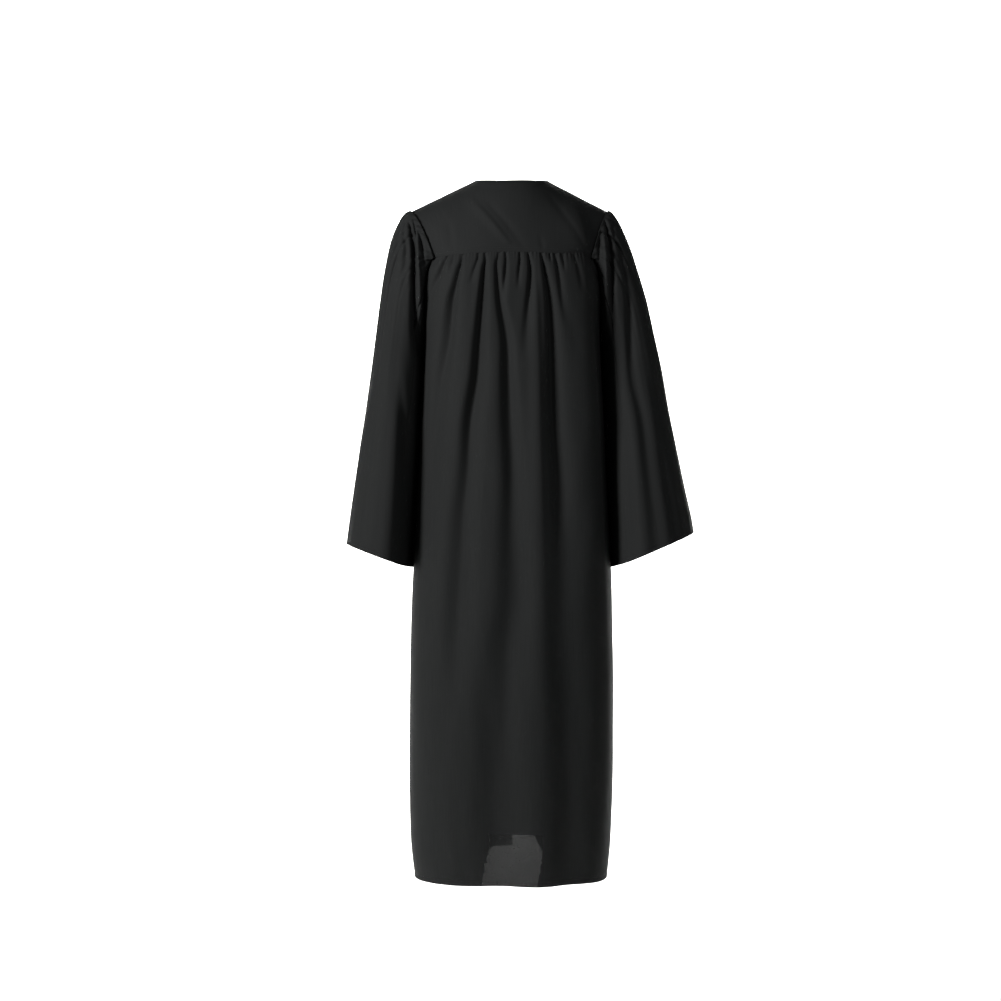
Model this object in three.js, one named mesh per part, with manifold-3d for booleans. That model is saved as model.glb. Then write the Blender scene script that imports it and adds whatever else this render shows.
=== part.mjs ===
// Graduation gown as it hangs when worn: black woven polyester, gathered to yokes at back and front,
// with bell sleeves gathered over the head and a zip down the centre front.
// Millimetres, +Z up. The gown faces -Y, its left sleeve is at +X, and the neck meets the shoulder at z = 0.
import * as THREE from "three";
import Module from "manifold-3d";
import { mergeVertices } from "three/addons/utils/BufferGeometryUtils.js";

const wasm = await Module();
wasm.setup();

// Driving dimensions
const CLOTH = 1.5; // wall that stands for the cloth
const SEAM = 0.3; // gap between two pieces at a seam
const NECK_BACK = { y: 58, z: -8 }; // middle of the back neck edge
const SHOULDER_DROP = 62; // neck point down to the sleeve seam
const YOKE_SEAM_Z = -148;
const UNDERARM_Z = -292;
const BACK_HEM_Z = -1337;
const FRONT_HEM_RISE = 40; // the front hangs shorter than the back
const ZIP = { top: -154, bottom: -1148, half: 7, tape: 1.1, rows: 16 };
const CLOSING = { clear: 5, length: 36 }; // below the zip, where the fronts come edge to edge

// Slider and pull, measured out from the middle of the tape
const SLIDER = {
  down: 9, // its middle, below the top of the zip
  width: 9.6,
  length: 12,
  plateBack: 2.2,
  plateFront: 3.6,
  flange: 1.1,
  flangeBack: 0.85,
  flangeLow: -2.4,
  flangeHigh: 3,
  bridgeLength: 7,
  bridgeRise: 3.9,
  bridgeBar: 1.3,
  bridgeWidth: 2.2,
  bridgeCut: 0.9,
  footSink: 0.4, // how deep the feet of the bridge and the flanges go into the plate
};
const PULL = { width: 7.2, above: 0.75, length: 27, thick: 1.5, eyeHalf: 1.75, eyeEnd: 5.2 };
const SHIELD = { corner: 0.2, arcSteps: 8 }; // outline of both: its cut corners, as a share of the width
const PIVOT_OUT = SLIDER.plateFront + (SLIDER.bridgeRise - SLIDER.bridgeBar) / 2;

// How far from its upper edge to its lower one a yoke has turned over the shoulder
const YOKE_CROWN = { x: 0.45, y: 0.88, z: 0.14 };
const NECK_SHARE = 0.36; // of the back yoke's upper edge, the part that is the neck

// Body sections, from the yoke seam to the hem: half widths to the left and right, and half depths
const BODY = [
  { z: -60, left: 168, right: 167, back: 96, front: 92 },
  { z: -148, left: 170, right: 169, back: 116, front: 112 },
  { z: -200, left: 171, right: 170, back: 124, front: 121 },
  { z: -292, left: 168, right: 167, back: 131, front: 127 },
  { z: -460, left: 177, right: 175, back: 137, front: 132 },
  { z: -600, left: 184, right: 181, back: 141, front: 136 },
  { z: -800, left: 194, right: 189, back: 146, front: 140 },
  { z: -1060, left: 199, right: 192, back: 150, front: 143 },
  { z: -1260, left: 196, right: 188, back: 149, front: 141 },
  { z: -1345, left: 188, right: 179, back: 146, front: 138 },
];
const SQUARENESS = 2.5; // of the plan section, where 2 is an ellipse

// How far round towards the side each armhole edge lies: 1 is the side seam
const ARMHOLE = [
  { z: -148, edge: 0.67 },
  { z: -168, edge: 0.79 },
  { z: -205, edge: 0.88 },
  { z: -250, edge: 0.95 },
  { z: -292, edge: 1 },
];

// Folds that fall from the back yoke, + x is the left: depth at the top, and how they widen and wander
const BACK_FOLDS = [
  { top: 103, end: 154, bow: 4, from: -160, to: -430, depth: 10, half: 11, spread: 20 },
  { top: 54, end: 146, bow: -14, from: -150, to: -760, depth: 17, half: 9, spread: 26 },
  { top: 34, end: 36, bow: -30, from: -150, to: -1180, depth: 15, half: 9, spread: 34 },
  { top: -28, end: -22, bow: -3, from: -150, to: -330, depth: 9, half: 7, spread: 11 },
  { top: -54, end: -108, bow: -6, from: -150, to: -1240, depth: 19, half: 10, spread: 38 },
  { top: -92, end: -132, bow: 0, from: -150, to: -420, depth: 8, half: 9, spread: 18 },
];

// Folds that fall from the front yokes
const FRONT_FOLDS = [
  { top: 112, end: 150, bow: 5, from: -152, to: -620, depth: 11, half: 10, spread: 22 },
  { top: 72, end: 112, bow: -6, from: -152, to: -1180, depth: 17, half: 10, spread: 32 },
  { top: 36, end: 52, bow: 3, from: -152, to: -900, depth: 13, half: 8, spread: 24 },
  { top: -40, end: -60, bow: 4, from: -152, to: -1150, depth: 15, half: 9, spread: 30 },
  { top: -84, end: -128, bow: 5, from: -152, to: -980, depth: 16, half: 10, spread: 28 },
  { top: -120, end: -152, bow: 0, from: -152, to: -520, depth: 9, half: 9, spread: 18 },
];

// Broad waves of the skirt: ridge = where one stands out, length = ridge to ridge
const BACK_WAVES = { ridge: -35, length: 145, depth: 8, from: -430, full: -1000 };
const FRONT_WAVES = { ridge: 24, length: 128, depth: 7, from: -480, full: -1050 };

// Fine gathers where a full edge is drawn up to a shorter one
const GATHER = { pitch: 16, depth: 4.2, rise: 17, reach: 62, drift: 0.3, driftLength: 41 };
const EDGE_CALM = 26; // folds die out this near to a panel's side edge
const FOLD_FADE = { risen: 1 / 12, held: 0.25, gone: 1.3 }; // along a fold, as shares of its length
const SEAM_LEAN = 0.15; // added to each side of a seam where the two walls lean differently
const SHOULDER_SEAM_HALF = SEAM / 2 + 2 * SEAM_LEAN; // half the gap between the yokes

// Each shoulder: neck = neck edge to centre along the shoulder line, tip = sleeve seam to centre.
// Sleeve rings: over = the edge away from the body, under = the edge beside it, which hangs a little forward,
// deep = half depth fore and aft, join = how much of the ring still follows the armhole
const SLEEVES = [
  {
    name: "left",
    side: 1,
    neck: 72,
    tip: 200,
    rings: [
      { overX: 201, overZ: -62, underX: 170, underY: 0, underZ: -292, deep: 88, join: 1 },
      { overX: 209, overZ: -62, underX: 170, underY: 0, underZ: -294, deep: 92, join: 0.84 },
      { overX: 220, overZ: -70, underX: 170.3, underY: 0, underZ: -296, deep: 98, join: 0.6 },
      { overX: 233, overZ: -94, underX: 170.8, underY: -1, underZ: -299, deep: 105, join: 0.36 },
      { overX: 243, overZ: -130, underX: 171.5, underY: -4, underZ: -303, deep: 112, join: 0.16 },
      { overX: 249, overZ: -178, underX: 171.6, underY: -20, underZ: -310, deep: 118, join: 0.04 },
      { overX: 255, overZ: -232, underX: 171.2, underY: -34, underZ: -322, deep: 123, join: 0 },
      { overX: 263, overZ: -296, underX: 171.8, underY: -44, underZ: -346, deep: 127, join: 0 },
      { overX: 272, overZ: -368, underX: 174, underY: -50, underZ: -400, deep: 131, join: 0 },
      { overX: 283, overZ: -446, underX: 177.5, underY: -53, underZ: -470, deep: 136, join: 0 },
      { overX: 296, overZ: -524, underX: 181, underY: -54, underZ: -548, deep: 142, join: 0 },
      { overX: 307, overZ: -604, underX: 185.2, underY: -55, underZ: -634, deep: 149, join: 0 },
      { overX: 315, overZ: -662, underX: 188.3, underY: -56, underZ: -700, deep: 154, join: 0 },
      { overX: 320, overZ: -699, underX: 190.3, underY: -57, underZ: -746, deep: 158, join: 0 },
    ],
  },
  {
    name: "right",
    side: -1,
    neck: 65,
    tip: 185,
    rings: [
      { overX: 186, overZ: -62, underX: 170, underY: 0, underZ: -292, deep: 88, join: 1 },
      { overX: 194, overZ: -62, underX: 170, underY: 0, underZ: -294, deep: 92, join: 0.84 },
      { overX: 203, overZ: -71, underX: 170.3, underY: 0, underZ: -296, deep: 98, join: 0.6 },
      { overX: 217, overZ: -95, underX: 170.8, underY: -1, underZ: -299, deep: 105, join: 0.36 },
      { overX: 232, overZ: -136, underX: 171.5, underY: -4, underZ: -303, deep: 112, join: 0.16 },
      { overX: 243, overZ: -180, underX: 171.6, underY: -20, underZ: -310, deep: 118, join: 0.04 },
      { overX: 257, overZ: -232, underX: 171, underY: -34, underZ: -322, deep: 123, join: 0 },
      { overX: 271, overZ: -294, underX: 171.2, underY: -44, underZ: -346, deep: 127, join: 0 },
      { overX: 286, overZ: -364, underX: 172.8, underY: -50, underZ: -400, deep: 131, join: 0 },
      { overX: 299, overZ: -440, underX: 175.6, underY: -53, underZ: -470, deep: 136, join: 0 },
      { overX: 314, overZ: -516, underX: 178.2, underY: -54, underZ: -548, deep: 142, join: 0 },
      { overX: 330, overZ: -592, underX: 181.4, underY: -55, underZ: -634, deep: 149, join: 0 },
      { overX: 342, overZ: -646, underX: 183.3, underY: -56, underZ: -700, deep: 154, join: 0 },
      { overX: 347, overZ: -678, underX: 184.8, underY: -57, underZ: -746, deep: 158, join: 0 },
    ],
  },
];

// Long folds of the sleeves: at = place round the ring (0 over the shoulder, 0.25 back, 0.5 under the arm,
// 0.75 front), from and to = place down the sleeve, 0 at the head and 1 at the cuff
const SLEEVE_FOLDS = [
  { at: 0.33, from: 0.06, to: 0.62, depth: 15, half: 0.026 },
  { at: 0.2, from: 0.1, to: 0.98, depth: 9, half: 0.034 },
  { at: 0.07, from: 0.1, to: 0.8, depth: 7, half: 0.03 },
  { at: 0.4, from: 0.45, to: 1.2, depth: 10, half: 0.045 },
  { at: 0.68, from: 0.06, to: 0.62, depth: 13, half: 0.028 },
  { at: 0.8, from: 0.1, to: 0.98, depth: 9, half: 0.034 },
  { at: 0.93, from: 0.1, to: 0.84, depth: 7, half: 0.03 },
];
const SLEEVE_FOLD_FADE = { risen: 0.25, held: 0.5 };

// Gathers of the sleeve head
const HEAD_GATHERS = {
  count: 22, // as many as would go all round it
  depth: 5,
  risen: 0.07,
  reach: 0.3,
  span: 0.34,
  drift: 0.4,
  driftTurn: 9,
  calm: 0.17,
};
const SHOULDER_SHARE = 0.25; // of the sleeve seam, the part each way from the shoulder that the yokes hold

// Mesh density
const COLUMNS = { backFine: 78, back: 34, frontFine: 34, front: 17, sleeveFine: 60, sleeve: 28, yoke: 8 };
const FINE_DROPS = [0, 7, 16, 28, 44, 66];
const DROPS = [100, 144, 200, 270, 350, 440, 540, 650, 770, 890, 1030, 1070, 1130, 1189];
const YOKE_ROWS = 6;
const ARMHOLE_STEPS = { yoke: 5, panel: 10 };
const MERGE_WITHIN = 1e-4;

const CLOTH_COLOUR = new THREE.Color("#1c1d1e");
const TAPE_COLOUR = new THREE.Color("#161617");
const METAL_COLOUR = new THREE.Color("#1d1d1f");
const CLOTH_FINISH = { roughness: 0.85, metalness: 0 };
const METAL_FINISH = { roughness: 0.45, metalness: 0.7 };

const clamp01 = (t) => Math.min(1, Math.max(0, t));
const mix = (a, b, t) => a + (b - a) * t;
const ease = (t) => clamp01(t) ** 2 * (3 - 2 * clamp01(t));
const bell = (d) => Math.exp(-d * d);

// A column of a table at height z, eased between rows so that a section's outline has no corners.
function atHeight(table, z, column) {
  const last = table.length - 1;
  if (z >= table[0].z) return table[0][column];
  if (z <= table[last].z) return table[last][column];
  const i = table.findIndex((row) => row.z < z) - 1;
  const slope = (k) => {
    const a = table[Math.max(k - 1, 0)];
    const b = table[Math.min(k + 1, last)];
    return (b[column] - a[column]) / (b.z - a.z);
  };
  const [p, q] = [table[i], table[i + 1]];
  const span = q.z - p.z;
  const t = (z - p.z) / span;
  const rise = q[column] - p[column];
  const start = slope(i) * span;
  const end = slope(i + 1) * span;
  return p[column] + t * (start + t * (3 * rise - 2 * start - end + t * (start + end - 2 * rise)));
}

// Depth of one fold at a point x, z of a panel, which fades in at its top and out at its end.
function foldDepth(fold, x, z) {
  const t = (fold.from - z) / (fold.from - fold.to);
  if (t < 0 || t > FOLD_FADE.gone) return 0;
  const centre = mix(fold.top, fold.end, t) + fold.bow * Math.sin(Math.PI * clamp01(t));
  const half = mix(fold.half, fold.spread, clamp01(t));
  const left = 1 - ease((t - FOLD_FADE.held) / (FOLD_FADE.gone - FOLD_FADE.held));
  return fold.depth * ease(t / FOLD_FADE.risen) * left * bell((x - centre) / half);
}

// Small gathers just under a yoke seam, drop = distance below it.
function gatherDepth(x, drop) {
  const turns = x / GATHER.pitch + GATHER.drift * Math.sin(x / GATHER.driftLength);
  const fade = ease(drop / GATHER.rise) * bell(drop / GATHER.reach);
  return GATHER.depth * fade * Math.sin(2 * Math.PI * turns);
}

// The place round the body, 0 to 1, of a distance out from the centre line.
function roundAt(sleeve, out, z) {
  return Math.asin(out / atHeight(BODY, z, sleeve.name)) / (Math.PI / 2);
}

// A point of the body, facing = 1 for the back and -1 for the front, round = -1 to 1 from side to side,
// relief = how far a fold takes the cloth inwards there.
function bodyPoint(facing, round, z, relief = 0) {
  const halfWidth = atHeight(BODY, z, round < 0 ? "right" : "left");
  const deep = atHeight(BODY, z, facing > 0 ? "back" : "front");
  const across = Math.sin((round * Math.PI) / 2);
  const x = halfWidth * across;
  const y = deep * Math.max(0, 1 - Math.abs(across) ** SQUARENESS) ** (1 / SQUARENESS);
  const inwards = new THREE.Vector2(-across / halfWidth, -(y / deep) / deep).normalize();
  const away = SEAM / 2 + SEAM_LEAN;
  return new THREE.Vector3(x + inwards.x * relief, facing * (y + inwards.y * relief + away), z);
}

function waveDepth(waves, x, z) {
  const grown = ease((waves.from - z) / (waves.from - waves.full));
  return -waves.depth * grown * Math.cos((2 * Math.PI * (x - waves.ridge)) / waves.length);
}

// Folds, waves and gathers of a panel, which die out towards its side edges so that they meet their seams.
function panelRelief(folds, waves, x, z, drop, toEdge) {
  const depth = folds.reduce((sum, fold) => sum + foldDepth(fold, x, z), gatherDepth(x, drop));
  return (depth + waveDepth(waves, x, z)) * ease(toEdge / EDGE_CALM);
}

// Rows of points become a wall of cloth: the mid surface is stitched row to row, moved out and in by half the
// thickness, and closed along its edges. A ring's rows close on themselves.
function clothWall(rows, { ring = false, flip = false, thickness = CLOTH } = {}) {
  const points = rows.flat();
  const faces = [];
  let start = 0;
  for (let r = 0; r + 1 < rows.length; r++) {
    const near = rows[r].length;
    const far = rows[r + 1].length;
    const next = start + near;
    const nearSteps = ring ? near : near - 1;
    const farSteps = ring ? far : far - 1;
    let i = 0;
    let j = 0;
    while (i < nearSteps || j < farSteps) {
      const a = start + (i % near);
      const b = next + (j % far);
      const takeNear = j >= farSteps || (i < nearSteps && (i + 1) * farSteps <= (j + 1) * nearSteps);
      faces.push(takeNear ? [a, b, start + ((i + 1) % near)] : [a, b, next + ((j + 1) % far)]);
      if (takeNear) i++;
      else j++;
    }
    start = next;
  }
  const turned = flip ? faces.map(([a, b, c]) => [a, c, b]) : faces;
  const normals = points.map(() => new THREE.Vector3());
  for (const [a, b, c] of turned) {
    const ab = points[b].clone().sub(points[a]);
    const normal = ab.cross(points[c].clone().sub(points[a]));
    for (const k of [a, b, c]) normals[k].add(normal);
  }
  const half = thickness / 2;
  for (const normal of normals) normal.normalize();
  const shifted = (sign) => points.map((p, k) => p.clone().addScaledVector(normals[k], sign * half));
  const inner = (k) => k + points.length;
  const used = new Set(turned.flatMap(([a, b, c]) => [`${a},${b}`, `${b},${c}`, `${c},${a}`]));
  const closing = [];
  for (const edge of used) {
    const [a, b] = edge.split(",").map(Number);
    if (used.has(`${b},${a}`)) continue;
    closing.push([b, a, inner(a)], [b, inner(a), inner(b)]);
  }
  const inside = turned.map(([a, b, c]) => [inner(a), inner(c), inner(b)]);
  const geometry = new THREE.BufferGeometry();
  const all = [...shifted(1), ...shifted(-1)].flatMap((p) => p.toArray());
  geometry.setAttribute("position", new THREE.Float32BufferAttribute(all, 3));
  geometry.setIndex([...turned, ...inside, ...closing].flat());
  geometry.computeVertexNormals();
  return geometry;
}

function piece(name, geometry, color, finish = CLOTH_FINISH) {
  const mesh = new THREE.Mesh(geometry, new THREE.MeshStandardMaterial({ color, ...finish }));
  mesh.name = name;
  return mesh;
}

// Steps from 0 to 1.
const steps = (count) => Array.from({ length: count + 1 }, (_, k) => k / count);

// Shoulder seam from the neck point to the sleeve seam.
function shoulderPoint(sleeve, t, facing) {
  const x = mix(sleeve.neck, sleeve.tip, t);
  return new THREE.Vector3(sleeve.side * x, facing * SHOULDER_SEAM_HALF, -SHOULDER_DROP * t);
}

// A yoke's surface from an upper edge point to a lower one, rounded over the shoulder.
function yokePoint(upper, lower, t) {
  const crown = new THREE.Vector3(
    mix(upper.x, lower.x, YOKE_CROWN.x),
    mix(upper.y, lower.y, YOKE_CROWN.y),
    mix(upper.z, lower.z, YOKE_CROWN.z),
  );
  const rise = 1 - t;
  return upper
    .clone()
    .multiplyScalar(rise * rise)
    .addScaledVector(crown, 2 * t * rise)
    .addScaledVector(lower, t * t);
}

function yokeHem(facing, round) {
  return bodyPoint(facing, round, YOKE_SEAM_Z).setZ(YOKE_SEAM_Z + SEAM / 2 + SEAM_LEAN);
}

// Back yoke: the upper edge runs down one shoulder seam, round the back of the neck and down the other.
function backYokeUpper(across) {
  const sleeve = SLEEVES.find((s) => s.side === (across < 0 ? -1 : 1));
  const out = Math.abs(across);
  if (out > NECK_SHARE) return shoulderPoint(sleeve, (out - NECK_SHARE) / (1 - NECK_SHARE), 1);
  const turn = (out / NECK_SHARE) * (Math.PI / 2);
  const x = sleeve.neck * Math.sin(turn);
  const y = SHOULDER_SEAM_HALF + NECK_BACK.y * Math.cos(turn);
  return new THREE.Vector3(sleeve.side * x, y, NECK_BACK.z * Math.cos(turn));
}

function backYokePoint(across, t) {
  const lower = yokeHem(1, across * ARMHOLE[0].edge);
  return yokePoint(backYokeUpper(across), lower, t);
}

function backYoke() {
  const across = steps(COLUMNS.yoke * 3).map((t) => 1 - 2 * t);
  const rows = steps(YOKE_ROWS).map((t) => across.map((a) => backYokePoint(a, t)));
  return piece("back_yoke", clothWall(rows, { flip: true }), CLOTH_COLOUR);
}

// Front yoke: the inner edge falls from the neck point to the top of the zip.
function frontYokePoint(sleeve, out, t) {
  const inner = roundAt(sleeve, ZIP.half + SEAM, YOKE_SEAM_Z);
  const lower = yokeHem(-1, sleeve.side * mix(inner, ARMHOLE[0].edge, out));
  return yokePoint(shoulderPoint(sleeve, out, -1), lower, t);
}

function frontYoke(sleeve) {
  const across = steps(COLUMNS.yoke);
  const rows = steps(YOKE_ROWS).map((t) => across.map((out) => frontYokePoint(sleeve, out, t)));
  return piece(`front_yoke_${sleeve.name}`, clothWall(rows, { flip: sleeve.side > 0 }), CLOTH_COLOUR);
}

// Side edge of the panels: the armhole down to the underarm, then the side seam.
const armholeEdge = (z) => (z <= UNDERARM_Z ? 1 : atHeight(ARMHOLE, z, "edge"));
const panelRows = (fine, coarse) => [
  ...FINE_DROPS.map((drop) => ({ drop, columns: fine })),
  ...DROPS.map((drop) => ({ drop, columns: coarse })),
];
const FULL_DROP = YOKE_SEAM_Z - BACK_HEM_Z;

function backPanel() {
  const rows = panelRows(COLUMNS.backFine, COLUMNS.back).map(({ drop, columns }) => {
    const z = YOKE_SEAM_Z - SEAM / 2 - SEAM_LEAN - drop;
    return steps(columns).map((t) => {
      const round = (1 - 2 * t) * armholeEdge(z);
      const plain = bodyPoint(1, round, z);
      const toEdge = plain.distanceTo(bodyPoint(1, Math.sign(round) * armholeEdge(z), z));
      return bodyPoint(1, round, z, panelRelief(BACK_FOLDS, BACK_WAVES, plain.x, z, drop, toEdge));
    });
  });
  return piece("back_panel", clothWall(rows, { flip: true }), CLOTH_COLOUR);
}

// Each front runs from the zip to the side seam. Below the zip the two edges come together.
function frontPanel(sleeve) {
  const rows = panelRows(COLUMNS.frontFine, COLUMNS.front).map(({ drop, columns }) => {
    const level = YOKE_SEAM_Z - SEAM / 2 - SEAM_LEAN - drop;
    const rise = FRONT_HEM_RISE * (drop / FULL_DROP) ** 3;
    const closing = ease((ZIP.bottom - CLOSING.clear - level - rise) / CLOSING.length);
    const inner = mix(ZIP.half, 0, closing) + SEAM / 2 + SEAM_LEAN;
    const from = roundAt(sleeve, inner, level);
    return steps(columns).map((t) => {
      const z = level + rise * ease(1 - t);
      const round = sleeve.side * mix(from, armholeEdge(level), t);
      const plain = bodyPoint(-1, round, z);
      const toSide = plain.distanceTo(bodyPoint(-1, sleeve.side * armholeEdge(level), level));
      const toZip = Math.abs(plain.x) - inner;
      const toEdge = Math.min(toSide, 2 * toZip);
      return bodyPoint(-1, round, z, panelRelief(FRONT_FOLDS, FRONT_WAVES, plain.x, z, drop, toEdge));
    });
  });
  return piece(`front_panel_${sleeve.name}`, clothWall(rows, { flip: sleeve.side > 0 }), CLOTH_COLOUR);
}

// The armhole as a loop, from the shoulder down the back, under the arm and up the front.
function armhole(sleeve) {
  const down = steps(ARMHOLE_STEPS.panel).map((t) => mix(YOKE_SEAM_Z, UNDERARM_Z, t));
  const panelEdge = (facing) => down.map((z) => bodyPoint(facing, sleeve.side * armholeEdge(z), z));
  const yokeSteps = steps(ARMHOLE_STEPS.yoke);
  const back = [...yokeSteps.map((t) => backYokePoint(sleeve.side, t)), ...panelEdge(1)];
  const front = [...yokeSteps.map((t) => frontYokePoint(sleeve, 1, t)), ...panelEdge(-1)];
  const halves = [back, front].map((half) => new THREE.CatmullRomCurve3(half, false, "centripetal"));
  return (at) => (at <= 0.5 ? halves[0].getPointAt(2 * at) : halves[1].getPointAt(2 - 2 * at));
}

// Depth of the folds of a sleeve, at = place round it and down = place along it.
function sleeveFoldDepth(at, down) {
  const { risen, held } = SLEEVE_FOLD_FADE;
  const long = SLEEVE_FOLDS.reduce((sum, fold) => {
    const t = (down - fold.from) / (fold.to - fold.from);
    const fade = ease(t / risen) * (1 - ease((t - held) / (1 - held)));
    return sum + fold.depth * fade * bell((at - fold.at) / fold.half);
  }, 0);
  const fromTop = Math.min(at, 1 - at);
  const { count, depth, reach, span, drift, driftTurn, calm } = HEAD_GATHERS;
  const drawn = bell(fromTop / span) * ease(down / HEAD_GATHERS.risen) * bell(down / reach);
  const waves = Math.sin(2 * Math.PI * (count * at + drift * Math.sin(driftTurn * at)));
  return long + depth * drawn * ease((0.5 - fromTop) / calm) * waves;
}

function sleeveRing(sleeve, loop, ring, down, columns) {
  const over = new THREE.Vector3(sleeve.side * ring.overX, 0, ring.overZ);
  const under = new THREE.Vector3(sleeve.side * ring.underX, ring.underY, ring.underZ);
  const centre = over.clone().lerp(under, 0.5);
  const reach = over.clone().sub(centre);
  return steps(columns)
    .slice(0, -1)
    .map((at) => {
      const turn = 2 * Math.PI * at;
      const round = centre.clone().addScaledVector(reach, Math.cos(turn));
      round.y += ring.deep * Math.sin(turn);
      const seam = loop(at);
      const underYokes = ease(Math.min(at, 1 - at) / SHOULDER_SHARE);
      seam.x += sleeve.side * (SEAM + SEAM_LEAN + mix(CLOTH / 2, CLOTH, underYokes));
      const point = round.lerp(seam, ring.join);
      const inwards = centre.clone().sub(point).normalize();
      return point.addScaledVector(inwards, sleeveFoldDepth(at, down));
    });
}

function sleevePiece(sleeve) {
  const loop = armhole(sleeve);
  const last = sleeve.rings.length - 1;
  const rows = sleeve.rings.map((ring, k) => {
    const fine = k <= last / 2;
    return sleeveRing(sleeve, loop, ring, k / last, fine ? COLUMNS.sleeveFine : COLUMNS.sleeve);
  });
  return piece(`sleeve_${sleeve.name}`, clothWall(rows, { ring: true, flip: sleeve.side < 0 }), CLOTH_COLOUR);
}

// Zip tape: a strip on the line of the front's edge, from the neck to the bottom of the zip.
function zipTape(sleeve) {
  const rows = steps(ZIP.rows).map((t) => {
    const z = mix(ZIP.top, ZIP.bottom, t);
    return [SEAM / 2, ZIP.half - SEAM / 2].map((out) => zipPoint(sleeve, out, z));
  });
  const flip = sleeve.side > 0;
  return piece(`zip_tape_${sleeve.name}`, clothWall(rows, { flip, thickness: ZIP.tape }), TAPE_COLOUR);
}

function zipPoint(sleeve, out, z) {
  return bodyPoint(-1, sleeve.side * roundAt(sleeve, out, z), z);
}

// Slider and pull are drawn flat: x across, y up the zip and z out from it.
function extruded(outline, from, to, hole) {
  const shape = new THREE.Shape(outline.map(([x, y]) => new THREE.Vector2(x, y)));
  if (hole) shape.holes = [new THREE.Path(hole.map(([x, y]) => new THREE.Vector2(x, y)))];
  return new THREE.ExtrudeGeometry(shape, { depth: to - from, bevelEnabled: false }).translate(0, 0, from);
}

// An upright outline with a half-round lower end and cut upper corners.
function shieldOutline(width, top, bottom) {
  const radius = width / 2;
  const corner = width * SHIELD.corner;
  const lower = steps(SHIELD.arcSteps).map((t) => {
    const turn = Math.PI * (1 + t);
    return [radius * Math.cos(turn), bottom + radius + radius * Math.sin(turn)];
  });
  const upper = [
    [radius, top - corner],
    [radius - corner, top],
    [corner - radius, top],
    [-radius, top - corner],
  ];
  return [...lower, ...upper];
}

const rectangle = (left, right, low, high) => [
  [left, low],
  [right, low],
  [right, high],
  [left, high],
];

// The bridge is a staple over the middle of the plate, its feet sunk in the plate to join it.
function bridge() {
  const half = SLIDER.bridgeLength / 2;
  const base = SLIDER.plateFront - SLIDER.footSink;
  const top = SLIDER.plateFront + SLIDER.bridgeRise;
  const inside = half - SLIDER.bridgeBar;
  const side = [
    [-half, base],
    [-inside, base],
    [-inside, top - SLIDER.bridgeBar],
    [inside, top - SLIDER.bridgeBar],
    [inside, base],
    [half, base],
    [half, top - SLIDER.bridgeCut],
    [half - SLIDER.bridgeCut, top],
    [SLIDER.bridgeCut - half, top],
    [-half, top - SLIDER.bridgeCut],
  ];
  const across = new THREE.Vector3(1, 0, 0);
  const up = new THREE.Vector3(0, 1, 0);
  const out = new THREE.Vector3(0, 0, 1);
  const turned = new THREE.Matrix4().makeBasis(up, out, across);
  return extruded(side, -SLIDER.bridgeWidth / 2, SLIDER.bridgeWidth / 2).applyMatrix4(turned);
}

function solidOf(geometry) {
  const bare = new THREE.BufferGeometry().setAttribute("position", geometry.getAttribute("position"));
  if (geometry.index) bare.setIndex(geometry.index);
  const merged = mergeVertices(bare, MERGE_WITHIN);
  const vertProperties = new Float32Array(merged.getAttribute("position").array);
  const triVerts = new Uint32Array(merged.index.array);
  return new wasm.Manifold(new wasm.Mesh({ numProp: 3, vertProperties, triVerts }));
}

function geometryOf(solid) {
  const { vertProperties, triVerts } = solid.getMesh();
  const geometry = new THREE.BufferGeometry();
  geometry.setAttribute("position", new THREE.BufferAttribute(vertProperties, 3));
  geometry.setIndex(new THREE.BufferAttribute(triVerts, 1));
  return geometry;
}

function zipSlider() {
  const { width, length, plateBack, plateFront, flange, flangeBack, flangeLow, flangeHigh } = SLIDER;
  const plate = extruded(shieldOutline(width, length / 2, -length / 2), plateBack, plateFront);
  const flanges = [-1, 1].map((side) => {
    const [near, far] = [side * (width / 2 - flange), (side * width) / 2];
    const outline = rectangle(Math.min(near, far), Math.max(near, far), flangeLow, flangeHigh);
    return extruded(outline, flangeBack, plateBack + SLIDER.footSink);
  });
  const solid = [...flanges, bridge()].reduce((sum, part) => sum.add(solidOf(part)), solidOf(plate));
  return piece("zip_slider", geometryOf(solid), METAL_COLOUR, METAL_FINISH);
}

// The pull hangs from the bridge by the bar above its eye.
function zipPull() {
  const { width, above, length, thick, eyeHalf, eyeEnd } = PULL;
  const eye = rectangle(-eyeHalf, eyeHalf, -eyeEnd, -above);
  const outline = shieldOutline(width, above, above - length);
  const tab = extruded(outline, PIVOT_OUT - thick / 2, PIVOT_OUT + thick / 2, eye);
  return piece("zip_pull", tab, METAL_COLOUR, METAL_FINISH);
}

// Both stand on the middle of the zip, leaning with the cloth there.
function zipHead() {
  const level = ZIP.top - SLIDER.down;
  const middle = zipPoint(SLEEVES[0], 0, level);
  const below = zipPoint(SLEEVES[0], 0, level - PULL.length);
  const head = new THREE.Group();
  head.position.copy(middle);
  head.rotation.x = Math.PI / 2 - Math.atan2(middle.y - below.y, PULL.length);
  head.add(zipSlider(), zipPull());
  return head;
}

const root = new THREE.Group();
root.add(backYoke(), backPanel());
for (const sleeve of SLEEVES) {
  root.add(frontYoke(sleeve), frontPanel(sleeve), sleevePiece(sleeve), zipTape(sleeve));
}
root.add(zipHead());

export default root;
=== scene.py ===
from math import pi, radians

import bmesh
import bpy
import numpy as np
from mathutils import Matrix, Vector, noise


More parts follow.
